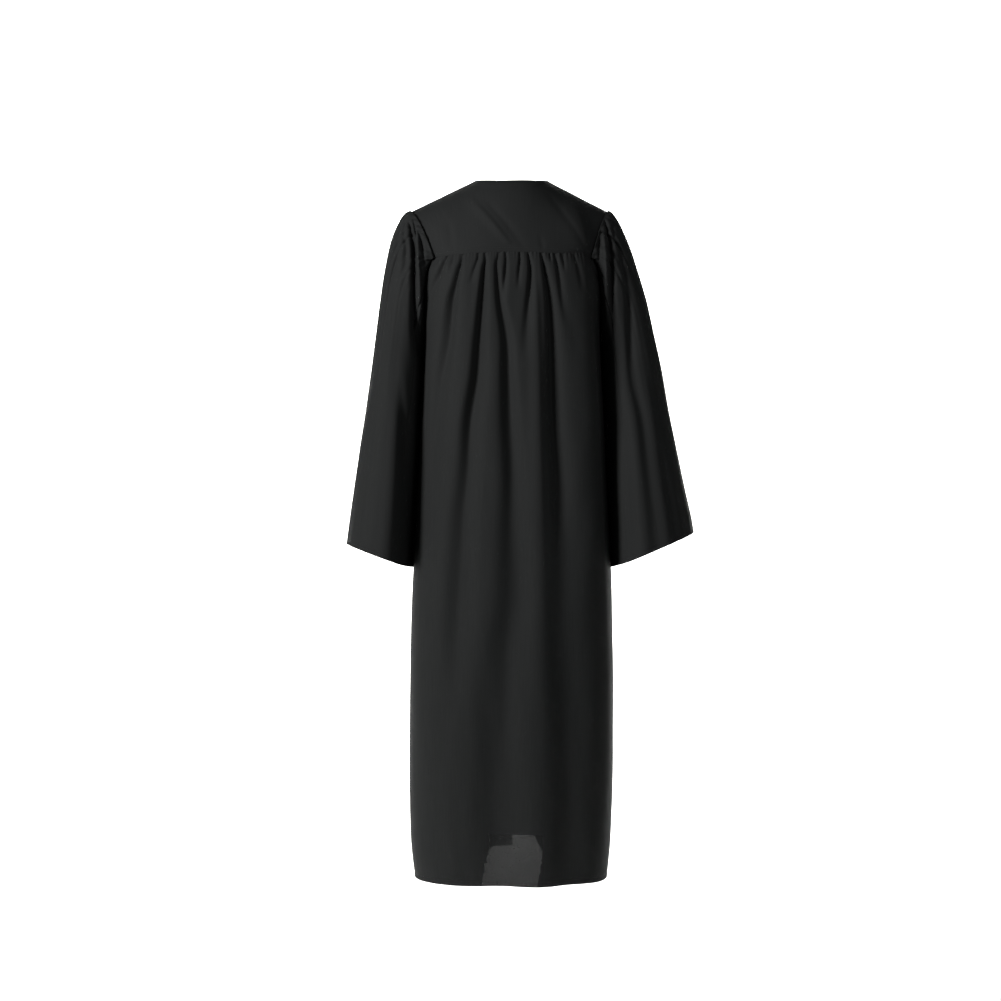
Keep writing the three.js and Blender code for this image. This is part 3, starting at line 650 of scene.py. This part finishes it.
def back_relief(u, v):
    point = back_base(u, v)
    x, z, drop = point[:, 0], point[:, 2], drop_at(v)
    edge = back_base(np.round(u), v)
    calm = ease(np.linalg.norm(point - edge, axis=-1) / EDGE_CALM)
    hanging = fold_depth(BACK_FOLDS, x, z) + bloom(drop) + sway(1.6, x, z, drop)
    return calm * hanging + gathers(x, drop, 1.0) + turned_edge(z - BACK_HEM_Z, **HEM)


back_surface = laid(back_base, back_relief)
back_panel = cloth_grid(
    "back_panel_cloth",
    240,
    178,
    back_surface,
    lambda u, v: ((u - 0.5) * (BACK_CUT["top"] + BACK_CUT["flare"] * v), drop_at(v)),
)
as_cloth(back_panel, "back_panel")
hem_row = share_at(HEM_DROP - HEM["width"])
sew("back_hem_stitches", back_surface, [(stitch_row(HEM_SHORT), hem_row)])

# Where the front's hem is raised only this one layer hangs, and the pale ground behind it shows through its weave
single_layer = woven_polyester("woven polyester, one layer against the light", see_through=True)
back_panel.data.materials.append(single_layer)
centres = np.empty(3 * len(back_panel.data.polygons))
back_panel.data.polygons.foreach_get("center", centres)
down = (SINGLE["top"] * MM - centres[2::3]) / ((SINGLE["top"] - BACK_HEM_Z) * MM)
left_edge, right_edge = (np.interp(down, (SINGLE[e]["from"], 1), SINGLE[e]["x"]) * MM for e in ("left", "right"))
within = (down > 0) & (centres[0::3] < left_edge) & (centres[0::3] > right_edge)
back_panel.data.polygons.foreach_set("material_index", within.astype(np.int32))

# Front panels: one each side of the zip, gathered to the front yokes like the back. Below the zip their edges
# hang side by side, and they are a little shorter than the back.
FRONT_CUT = {"top": 215, "flare": 65}
FRONT_HEM_RISE = {1: 32, -1: 56}  # near the middle
RISE_REACH = {1: 62, -1: 66}
RISE_EDGE = {"from": 0.55, "over": 0.6}  # the rise falls off over these shares of its reach
CLOSING = {"clear": 5, "length": 36, "inset": 0.3, "apart": 0.4}  # how the two edges come together below the zip
ZIP_CALM = 16  # folds die out this near to the zip
ZIP_ROW = {"across": 0.035, "top": 6, "bottom": 1160}  # share of the width out to the stitches beside the zip
FRONT_FOLDS = {
    1: [
        [(-150, 128, 3, 3, 3), (-200, 131, 6, 5, 6), (-290, 143, 5, 9, 10), (-400, 154, 0, 12, 14)],
        [(-150, 108, 3, 3, 3), (-185, 109, 5, 4, 4), (-240, 113, 0, 6, 6)],
        [
            (-150, 88, 3, 3, 3), (-190, 89, 8, 5, 5), (-300, 96, 11, 9, 12), (-520, 112, 9, 16, 20),
            (-760, 126, 5, 24, 28), (-960, 134, 0, 30, 30),
        ],
        [(-150, 70, 3, 3, 3), (-185, 70, 5, 4, 4), (-235, 72, 0, 6, 6)],
        [
            (-150, 52, 3, 3, 3), (-190, 52, 9, 5, 5), (-320, 56, 12, 10, 11), (-600, 64, 9, 18, 20),
            (-900, 70, 8, 30, 30), (-1340, 76, 6, 38, 38),
        ],
        [(-150, 36, 3, 3, 3), (-190, 35, 6, 4, 5), (-290, 33, 3, 7, 8), (-400, 32, 0, 10, 10)],
    ],
    -1: [
        [(-150, -31, 3, 3, 3), (-190, -32, 7, 4, 5), (-340, -36, 6, 9, 9), (-560, -40, 0, 14, 14)],
        [
            (-150, -50, 3, 3, 3), (-190, -51, 8, 5, 5), (-340, -58, 12, 10, 11), (-640, -66, 9, 20, 20),
            (-1000, -74, 8, 34, 34), (-1340, -78, 6, 40, 40),
        ],
        [(-150, -66, 3, 3, 3), (-190, -67, 5, 4, 4), (-235, -69, 0, 6, 6)],
        [
            (-150, -84, 3, 3, 3), (-190, -86, 8, 5, 5), (-310, -94, 10, 9, 11), (-540, -108, 8, 16, 20),
            (-800, -122, 4, 24, 26), (-980, -130, 0, 28, 28),
        ],
        [(-150, -104, 3, 3, 3), (-185, -105, 5, 4, 4), (-250, -108, 0, 6, 6)],
        [(-150, -124, 3, 3, 3), (-200, -128, 6, 5, 6), (-290, -140, 5, 9, 9), (-380, -150, 0, 12, 12)],
    ],
}


def front_base(side):
    def base(u, v):
        out = mirrored(side, u)
        level = YOKE_SEAM_Z - drop_at(v)
        closing = ease((ZIP["bottom"] - CLOSING["clear"] - level) / CLOSING["length"])
        inner = (ZIP["half"] - CLOSING["inset"]) * (1 - closing) + CLOSING["apart"]
        start = around_at(side, inner, level)
        around = side * (start + (armhole_edge(np.minimum(level, YOKE_SEAM_Z)) - start) * out)
        point = body_point(-1, around, level)
        starts, over = (RISE_REACH[side] * RISE_EDGE[key] for key in ("from", "over"))
        lifted = 1 - ease((np.abs(point[:, 0]) - starts) / over)
        point[:, 2] += FRONT_HEM_RISE[side] * lifted * (drop_at(v) / HEM_DROP) ** 3
        point[:, 2] -= upper_sag(point[:, 0], drop_at(v))
        return point

    return base


for side, name in SIDES:
    base = front_base(side)

    def relief(u, v):
        point = base(u, v)
        x, z, drop = point[:, 0], point[:, 2], drop_at(v)
        from_zip, from_side = (
            np.linalg.norm(point - base(np.full_like(u, mirrored(side, edge)), v), axis=-1) for edge in (0.0, 1.0)
        )
        calm = ease(from_zip / ZIP_CALM) * ease(from_side / EDGE_CALM)
        hanging = fold_depth(FRONT_FOLDS[side], x, z) + bloom(drop) + sway(1.5, x, z, drop, 5.0)
        edges = turned_edge(from_zip, rise=0.3) + turned_edge(HEM_DROP - drop, **HEM)
        return calm * hanging + gathers(x, drop, 2.0) * ease(from_zip / (ZIP_CALM / 2)) + edges

    surface = laid(base, relief)
    panel = cloth_grid(
        f"front_panel_{name}_cloth",
        120,
        170,
        surface,
        lambda u, v: (u * (FRONT_CUT["top"] + FRONT_CUT["flare"] * v), drop_at(v)),
    )
    as_cloth(panel, f"front_panel_{name}")
    down_zip = share_at(np.linspace(ZIP_ROW["top"], ZIP_ROW["bottom"], 400))
    rows = [(stitch_row(HEM_SHORT), hem_row), (mirrored(side, ZIP_ROW["across"]), down_zip)]
    sew(f"front_panel_{name}_stitches", surface, rows)

# Sleeves: wide bells of the same cloth, each a tube seamed under the arm. The head is drawn up in gathers over the
# shoulder and sewn round the armhole, and the cuff is open with a narrow stitched hem.
RING_SQUARENESS = 2.7
INNER_SHARE = 1.13  # the hollow is this much deeper at its inner edge,
OUTER_SHARE = 0.18  # and shallower towards its outer edge, so its back and front face outwards a little
BEND_SHARE = 0.375  # the back is this much shallower, and the front deeper, for the edge that hangs forward
HEAD_SEAM_GAP = 0.5  # from the armhole to the sleeve's edge
FOLD_LEAN = 1.2  # how far the direction of the folds is turned towards straight fore and aft
SLEEVE_LENGTH = 650
SLEEVE_CUT = {"head": 560, "flare": 160}
RING_COLUMNS = ("over_x", "over_z", "under_x", "under_y", "under_z", "deep", "join")
SLEEVE_RINGS = {
    1: [
        (201, -62, 170, 0, -292, 88, 1),
        (209, -62, 170, 0, -294, 88, 0.84),
        (220, -70, 170.3, 0, -296, 88, 0.6),
        (233, -94, 169.8, -8, -299, 88, 0.36),
        (243, -130, 169.4, -19, -303, 88, 0.16),
        (249, -178, 169.2, -30, -310, 89, 0.04),
        (255, -232, 168.6, -38, -322, 91, 0),
        (263, -296, 169, -45, -346, 96, 0),
        (272, -368, 171.4, -50, -400, 108, 0),
        (283, -446, 177.5, -53, -470, 124, 0),
        (296, -524, 181, -54, -548, 138, 0),
        (307, -604, 185.2, -55, -634, 148, 0),
        (315, -662, 188.3, -56, -700, 154, 0),
        (320, -699, 190.3, -57, -746, 158, 0),
    ],
    -1: [
        (186, -62, 170, 0, -292, 88, 1),
        (194, -62, 170, 0, -294, 88, 0.84),
        (203, -71, 170.3, 0, -296, 88, 0.6),
        (217, -95, 169.8, -8, -299, 88, 0.36),
        (232, -136, 169.4, -19, -303, 88, 0.16),
        (243, -180, 169.2, -30, -310, 89, 0.04),
        (257, -232, 168.6, -38, -322, 91, 0),
        (271, -294, 169, -45, -346, 96, 0),
        (286, -364, 170.6, -50, -400, 108, 0),
        (299, -440, 175.6, -53, -470, 124, 0),
        (314, -516, 178.2, -54, -548, 138, 0),
        (330, -592, 181.4, -55, -634, 148, 0),
        (342, -646, 183.3, -56, -700, 154, 0),
        (347, -678, 184.8, -57, -746, 158, 0),
    ],
}

# Shares of the grid's rows down to each place on the sleeve
DOWN_SHARES = {"share": (0, 0.34, 0.62, 0.93, 1), "down": (0, 0.2, 0.46, 0.965, 1)}

# Folds on the back of each sleeve, and like ones on its front
SLEEVE_BACK_FOLDS = {
    1: [
        [
            (-80, 200, 0, 3, 3), (-92, 197, 7, 3, 3), (-115, 193, 12, 4, 4), (-134, 189, 14, 5, 4),
            (-184, 187, 16, 6, 5), (-240, 186, 17, 7, 6), (-293, 184, 13, 8, 7), (-350, 179, 0, 8, 8),
        ],
        [
            (-100, 184, 0, 3, 3), (-134, 181, -4, 4, 4), (-184, 180, -7, 4, 4), (-240, 179, -6, 4, 4),
            (-300, 177, 0, 4, 4),
        ],
        [
            (-98, 184, 0, 2.5, 2.5), (-112, 178, 5, 2.5, 3), (-132, 173, 8, 3, 3), (-150, 170, 6, 3, 3),
            (-180, 169, 0, 3, 3),
        ],
        [(-78, 191, 0, 2, 2), (-92, 188, 4, 2, 2.5), (-110, 185, 5, 2.5, 2.5), (-128, 182, 0, 2.5, 2.5)],
        [
            (-84, 207, 2, 3, 3), (-110, 209, 4, 4, 4), (-134, 204, 5, 4, 4), (-175, 206, 3, 6, 6),
            (-230, 210, 0, 8, 8),
        ],
        [
            (-380, 214, 0, 10, 12), (-440, 208, 7, 12, 9), (-470, 205, 11, 12, 9), (-560, 203, 11, 14, 12),
            (-680, 205, 9, 16, 14), (-760, 207, 7, 18, 16),
        ],
        [(-84, 216, 2, 4, 4), (-130, 222, 4, 6, 6), (-190, 228, 3, 9, 9), (-290, 236, 0, 12, 12)],
        [(-300, 252, 0, 10, 10), (-420, 256, 3, 12, 12), (-620, 276, 3, 16, 16), (-760, 288, 0, 18, 18)],
    ],
    -1: [
        [
            (-78, -174, 0, 2.5, 3), (-92, -177, 7, 2.5, 3), (-115, -182, 11, 3, 4), (-134, -185, 11, 4, 5),
            (-184, -187, 12, 4, 5), (-252, -188, 10, 4, 6), (-310, -190, 0, 5, 7),
        ],
        [
            (-100, -168, 0, 2.5, 2.5), (-116, -165, 5, 3, 2.5), (-134, -163, 7, 3, 3),
            (-150, -163, 5, 3, 3), (-176, -164, 0, 3, 3),
        ],
        [
            (-100, -170, 0, 3, 3), (-134, -174, -4, 4, 4), (-184, -177, -6, 4, 4), (-240, -178, -5, 4, 4),
            (-290, -178, 0, 4, 4),
        ],
        [
            (-84, -190, 2, 2.5, 3), (-110, -192, 4, 3, 3), (-134, -201, 5, 3, 4), (-160, -207, 5, 4, 5),
            (-184, -212, 5, 5, 6), (-240, -219, 7, 6, 8), (-314, -222, 8, 7, 10), (-388, -227, 7, 9, 12),
            (-463, -244, 7, 10, 12), (-556, -254, 6, 11, 14), (-650, -264, 5, 12, 15),
            (-740, -270, 3, 14, 16),
        ],
        [(-380, -262, 0, 8, 9), (-470, -276, 3, 9, 10), (-700, -306, 3, 11, 12), (-760, -312, 2, 12, 12)],
        [(-420, -206, 0, 9, 10), (-520, -212, 5, 10, 12), (-620, -216, 6, 12, 14), (-740, -222, 5, 14, 16)],
    ],
}
SLEEVE_FRONT_FOLDS = {
    1: [
        [
            (-90, 192, 4, 4, 4), (-140, 198, 10, 6, 5), (-210, 202, 13, 8, 7), (-280, 196, 9, 9, 8),
            (-360, 184, 0, 9, 8),
        ],
        [(-86, 214, 3, 4, 4), (-150, 222, 6, 7, 7), (-260, 236, 4, 11, 11), (-380, 246, 0, 14, 14)],
        [(-360, 216, 0, 10, 14), (-470, 214, 6, 15, 16), (-640, 216, 7, 20, 20), (-760, 220, 5, 22, 22)],
    ],
    -1: [
        [
            (-90, -182, 4, 4, 4), (-140, -190, 10, 5, 6), (-210, -194, 12, 7, 8), (-280, -192, 8, 8, 9),
            (-350, -186, 0, 8, 9),
        ],
        [(-92, -202, 3, 4, 4), (-150, -214, 6, 7, 7), (-270, -236, 4, 11, 11), (-400, -252, 0, 14, 14)],
        [(-340, -214, 0, 12, 12), (-460, -220, 6, 15, 15), (-640, -230, 6, 20, 20), (-760, -236, 4, 22, 22)],
    ],
}

# Gathers round the head, and the puff that they give it. Lengths down the sleeve are shares of it
HEAD = {"count": 27, "deep": 6, "half": 0.2, "starts": 0.02, "full_over": 0.09, "fades_over": 0.42}
PUFF = {"out": 5, "over": 0.05, "gone": 0.24}
HEAD_END = {"at": 0.47, "over": 0.2}  # both die out towards the underarm seam
HEAD_UNEVEN = {"spacing": 0.8, "mean": 0.75, "spread": 0.9}  # the gathers differ in place, depth and length
SLEEVE_CALM = {"edges": 20, "underarm": 0.05, "head": 0.03}  # the long folds die out this near to these


def down_at(v):
    return np.interp(v, DOWN_SHARES["share"], DOWN_SHARES["down"])


def armhole(side):
    """The armhole as two half loops, from the shoulder to the underarm, down the back and down the front."""
    t = np.linspace(0, 1, 40)
    z = YOKE_SEAM_Z - YOKE_LAP + (UNDERARM_Z - YOKE_SEAM_Z + YOKE_LAP) * t
    end = 1.0 if side > 0 else 0.0
    yokes = (back_yoke_base(np.full_like(t, end), t), front_yoke_base(side)(np.full_like(t, 1 - end), t))
    halves = []
    for facing, yoke in zip((1, -1), yokes):
        line = np.concatenate([yoke, body_point(facing, side * armhole_edge(z), z)[1:]])
        run = np.concatenate([[0], np.cumsum(np.linalg.norm(np.diff(line, axis=0), axis=-1))])
        halves.append((run / run[-1], line))
    return halves


def sleeve_base(side):
    """A sleeve's form. Its u runs round from the shoulder down the back and up the front, and v down its length."""
    halves = armhole(side)
    rings = dict(zip(RING_COLUMNS, np.array(SLEEVE_RINGS[side], float).T))
    places = np.arange(len(SLEEVE_RINGS[side])) / (len(SLEEVE_RINGS[side]) - 1)

    def base(u, v):
        at = mirrored(side, u) % 1.0
        down = down_at(v)
        ring = {name: curve(down, places, rings[name]) for name in RING_COLUMNS}
        zero = np.zeros_like(at)
        over = np.stack([side * ring["over_x"], zero, ring["over_z"]], -1)
        under = np.stack([side * ring["under_x"], ring["under_y"], ring["under_z"]], -1)
        turn = 2 * pi * at[:, None]
        square = 2 / RING_SQUARENESS
        across = np.sign(np.cos(turn)) * np.abs(np.cos(turn)) ** square
        aft = np.sign(np.sin(turn)) * np.abs(np.sin(turn)) ** square
        round_ = (over + under) / 2 + (over - under) / 2 * across
        facing = np.sign(aft[:, 0])
        bend = ((1 - np.cos(turn[:, 0])) / 2) ** 3
        share = INNER_SHARE - OUTER_SHARE * (1 + across[:, 0])
        deep = ring["deep"] * share + BEND_SHARE * ring["under_y"] * facing
        round_[:, 1] = ring["under_y"] * bend + deep * aft[:, 0]
        seam = np.where(
            (at <= 0.5)[:, None],
            np.stack([np.interp(2 * at, halves[0][0], halves[0][1][:, k]) for k in range(3)], -1),
            np.stack([np.interp(2 - 2 * at, halves[1][0], halves[1][1][:, k]) for k in range(3)], -1),
        )
        seam[:, 0] += side * HEAD_SEAM_GAP
        return round_ + (seam - round_) * ring["join"][:, None]

    return base


for side, name in SIDES:
    base = sleeve_base(side)

    def relief(u, v):
        point = base(u, v)
        x, y, z = point.T
        at = mirrored(side, u) % 1.0
        down = down_at(v)
        from_top = np.minimum(at, 1 - at)
        folds = np.where(
            y > 0,
            fold_depth(SLEEVE_BACK_FOLDS[side], x, z),
            fold_depth(SLEEVE_FRONT_FOLDS[side], x, z),
        )
        calm = ease(np.abs(y) / SLEEVE_CALM["edges"]) * ease((0.5 - from_top) / SLEEVE_CALM["underarm"])
        calm *= ease(down / SLEEVE_CALM["head"])
        level = np.zeros_like(at)
        turns = HEAD["count"] * at + HEAD_UNEVEN["spacing"] * swells(at, level, 0.06, 1, 7.0 + side)
        swell = swells(np.round(turns), level, 1.7, 1, 5.0 + side)
        uneven = HEAD_UNEVEN["mean"] + HEAD_UNEVEN["spread"] * swell
        tuck = np.exp(-(((turns - np.round(turns)) / HEAD["half"]) ** 2))
        fading = np.exp(-((down / (HEAD["fades_over"] * uneven)) ** 2))
        drawn = HEAD["deep"] * uneven * tuck * fading * ease((down - HEAD["starts"]) / HEAD["full_over"])
        puff = PUFF["out"] * ease(down / PUFF["over"]) * (1 - ease((down - PUFF["over"]) / PUFF["gone"]))
        turned_in = 1 - ease(down / 0.01)
        head = (drawn - puff + turned_in) * ease((HEAD_END["at"] - from_top) / HEAD_END["over"])
        cloth = 1.8 * swells(x + 2 * y, z, 46, 170, 9.0 + side) * ease(down / 0.1)
        return folds * calm + head + cloth + turned_edge((1 - down) * SLEEVE_LENGTH, **HEM)

    surface = laid(base, relief, lean=FOLD_LEAN)
    sleeve = cloth_grid(
        f"sleeve_{name}_cloth",
        236,
        150,
        surface,
        lambda u, v: (u * (SLEEVE_CUT["head"] + SLEEVE_CUT["flare"] * v), SLEEVE_LENGTH * v),
    )
    # The two edges of the tube are joined under the arm
    bm = bmesh.new()
    bm.from_mesh(sleeve.data)
    bmesh.ops.remove_doubles(bm, verts=[v for v in bm.verts if v.is_boundary], dist=1e-5)
    bm.to_mesh(sleeve.data)
    bm.free()
    as_cloth(sleeve, f"sleeve_{name}")
    cuff_row = np.interp(1 - HEM["width"] / SLEEVE_LENGTH, DOWN_SHARES["down"], DOWN_SHARES["share"])
    sew(f"sleeve_{name}_stitches", surface, [(np.linspace(0, 0.999, 300), cuff_row)])

# Zip tapes: two strips of knitted polyester, sewn in behind the turned edges of the fronts. Their inner parts
# show between the two edges and carry the coil.
TAPE_WIDTH = 12
TAPE_STEP = {"back": 1.6, "over": 1.5}  # the covered part lies this far behind the front's edge
knitted_tape = woven_polyester("knitted polyester tape")


def tape_base(side):
    def base(u, v):
        out = TAPE_WIDTH * mirrored(side, u)
        z = ZIP["top"] + (ZIP["bottom"] - ZIP["top"]) * v
        point = body_point(-1, side * around_at(side, out, z), z)
        point[:, 1] += TAPE_STEP["back"] * ease((out - ZIP["half"] + TAPE_STEP["over"]) / TAPE_STEP["over"])
        return point

    return base


for side, name in SIDES:
    surface = laid(tape_base(side), lambda u, v: np.zeros_like(u))
    length = ZIP["top"] - ZIP["bottom"]
    tape = cloth_grid(f"zip_tape_{name}_cloth", 6, 120, surface, lambda u, v: (TAPE_WIDTH * u, length * v))
    give_wall(tape)
    tape.data.materials.append(knitted_tape)
    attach(tape, "gown")
    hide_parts(f"zip_tape_{name}")

# Closed zip coil: a spiral of hard black nylon, smoother than the cloth, so each turn carries a small highlight.
# Its turns lie across the middle of both tapes, from the slider down to the zip's end.
COIL = {"pitch": 1.4, "half_width": 2.6, "half_height": 0.5, "turn_share": 0.38, "proud": 0.55}
COIL_CLEAR = {"foot": 4, "slider": 1}
nylon, *_ = mottled(
    "black nylon coil",
    {"Scale": 350, "Detail": 2},
    "#161617",
    "#242426",
    {"Roughness": 0.38, "Specular IOR Level": 0.35},
)
slider_foot = min(vert.co.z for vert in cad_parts["zip_slider"].data.vertices) / MM
bm = bmesh.new()
for z in np.arange(ZIP["bottom"] + COIL_CLEAR["foot"], slider_foot - COIL_CLEAR["slider"], COIL["pitch"]):
    middle = body_point(-1, 0, np.array([z]))[0]
    place = Matrix.Translation(Vector((0, middle[1] - COIL["proud"], z)) * MM)
    turn = Matrix.Diagonal((COIL["half_width"], COIL["half_height"], COIL["turn_share"] * COIL["pitch"], 1))
    bmesh.ops.create_icosphere(bm, subdivisions=1, radius=MM, matrix=place @ turn)
coil_mesh = mesh_from("zip_coil", bm)
coil_mesh.shade_smooth()
coil_mesh.materials.append(nylon)
coil = add_object("zip_coil", coil_mesh)
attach(coil, "gown")

# Slider and pull: die-cast zinc in black lacquer, with the fine unevenness and duller spots that handling leaves.
# The slider grips the closed coil at the neckline, and the pull hangs from its bridge by an eye.
lacquered_zinc, zinc_tree, lacquer, handling = mottled(
    "lacquered zinc",
    {"Scale": 420, "Detail": 3, "Roughness": 0.6},
    "#141416",
    "#1f1f22",
    {"Coat Weight": 0.4, "Coat Roughness": 0.2},
)
vary_input(zinc_tree, lacquer, "Roughness", handling, (0.35, 0.7), (0.28, 0.5))
for name in ("zip_slider", "zip_pull"):
    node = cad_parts[name]
    node.data.materials.clear()
    node.data.materials.append(lacquered_zinc)

# Studio: a white paper sweep with its own two lamps, a soft key light from the left, a weak fill from the right,
# and the camera 4.1 m behind the gown. Key and fill point a little upwards, so they fade towards the hem.
FLOOR_Z = -1572
SWEEP = {"wide": 7, "run": 11.4, "flat": 4.4, "radius": 2.4, "near_end": 0.4}  # in metres
bm = bmesh.new()
bmesh.ops.create_grid(bm, x_segments=2, y_segments=60, size=0.5)
for vert in bm.verts:
    run = (vert.co.y + 0.5) * SWEEP["run"]
    past_flat = run - SWEEP["flat"]
    turn = min(max(past_flat / SWEEP["radius"], 0), pi / 2)
    back = SWEEP["near_end"] - min(run, SWEEP["flat"]) - SWEEP["radius"] * np.sin(turn)
    up = SWEEP["radius"] * (1 - np.cos(turn)) + max(past_flat - SWEEP["radius"] * pi / 2, 0)
    vert.co = Vector((vert.co.x * SWEEP["wide"], back, FLOOR_Z * MM + up))
sweep_mesh = mesh_from("sweep", bm)
sweep_mesh.shade_smooth()
sweep = add_object("sweep", sweep_mesh)
# The paper also glows a little, as if lit from below, so that its near part stays white
paper, *_ = new_material(
    "matt white paper",
    {
        "Base Color": linear("#f4f4f2"),
        "Roughness": 0.9,
        "Emission Color": linear("#ffffff"),
        "Emission Strength": 0.36,
    },
)
sweep_mesh.materials.append(paper)


def soft_light(name, place, target, size, power):
    lamp = bpy.data.lights.new(name, "AREA")
    lamp.shape = "RECTANGLE"
    lamp.size, lamp.size_y = size
    lamp.energy = power
    obj = add_object(name, lamp)
    obj.location = place
    obj.rotation_euler = (Vector(target) - Vector(place)).to_track_quat("-Z", "Y").to_euler()


soft_light("key", (3.3, 2.5, 0.5), (0, 0, 1.8), (1.2, 1.6), 196)
soft_light("fill", (-3.2, 3.6, 0.8), (0, 0, 0.6), (2.6, 2.6), 24)
soft_light("backdrop left", (3.4, -2.4, 1.2), (1.0, -7.0, -0.6), (2, 2), 700)
soft_light("backdrop right", (-3.4, -2.4, 1.2), (-1.0, -7.0, -0.6), (2, 2), 700)
world = bpy.data.worlds.new("studio air")
world.use_nodes = True
world.node_tree.nodes["Background"].inputs["Color"].default_value = linear("#ffffff")
world.node_tree.nodes["Background"].inputs["Strength"].default_value = 0.1
bpy.context.scene.world = world
bpy.context.scene.view_settings.view_transform = "Standard"

# The camera looks straight ahead at the gown's back. One pixel is 1.93 mm at the middle of the gown
PICTURE_WIDTH = 1001  # pixels
PIXEL = 1.93
CAMERA_PLACE = (0.024, 4.1, -0.617)
SENSOR_WIDTH = 36
camera_data = bpy.data.cameras.new("camera")
camera_data.sensor_width = SENSOR_WIDTH
camera_data.lens = SENSOR_WIDTH * CAMERA_PLACE[1] / (PIXEL * MM) / PICTURE_WIDTH
camera = add_object("camera", camera_data)
camera.location = CAMERA_PLACE
camera.rotation_euler = (pi / 2, 0, pi)
bpy.context.scene.camera = camera
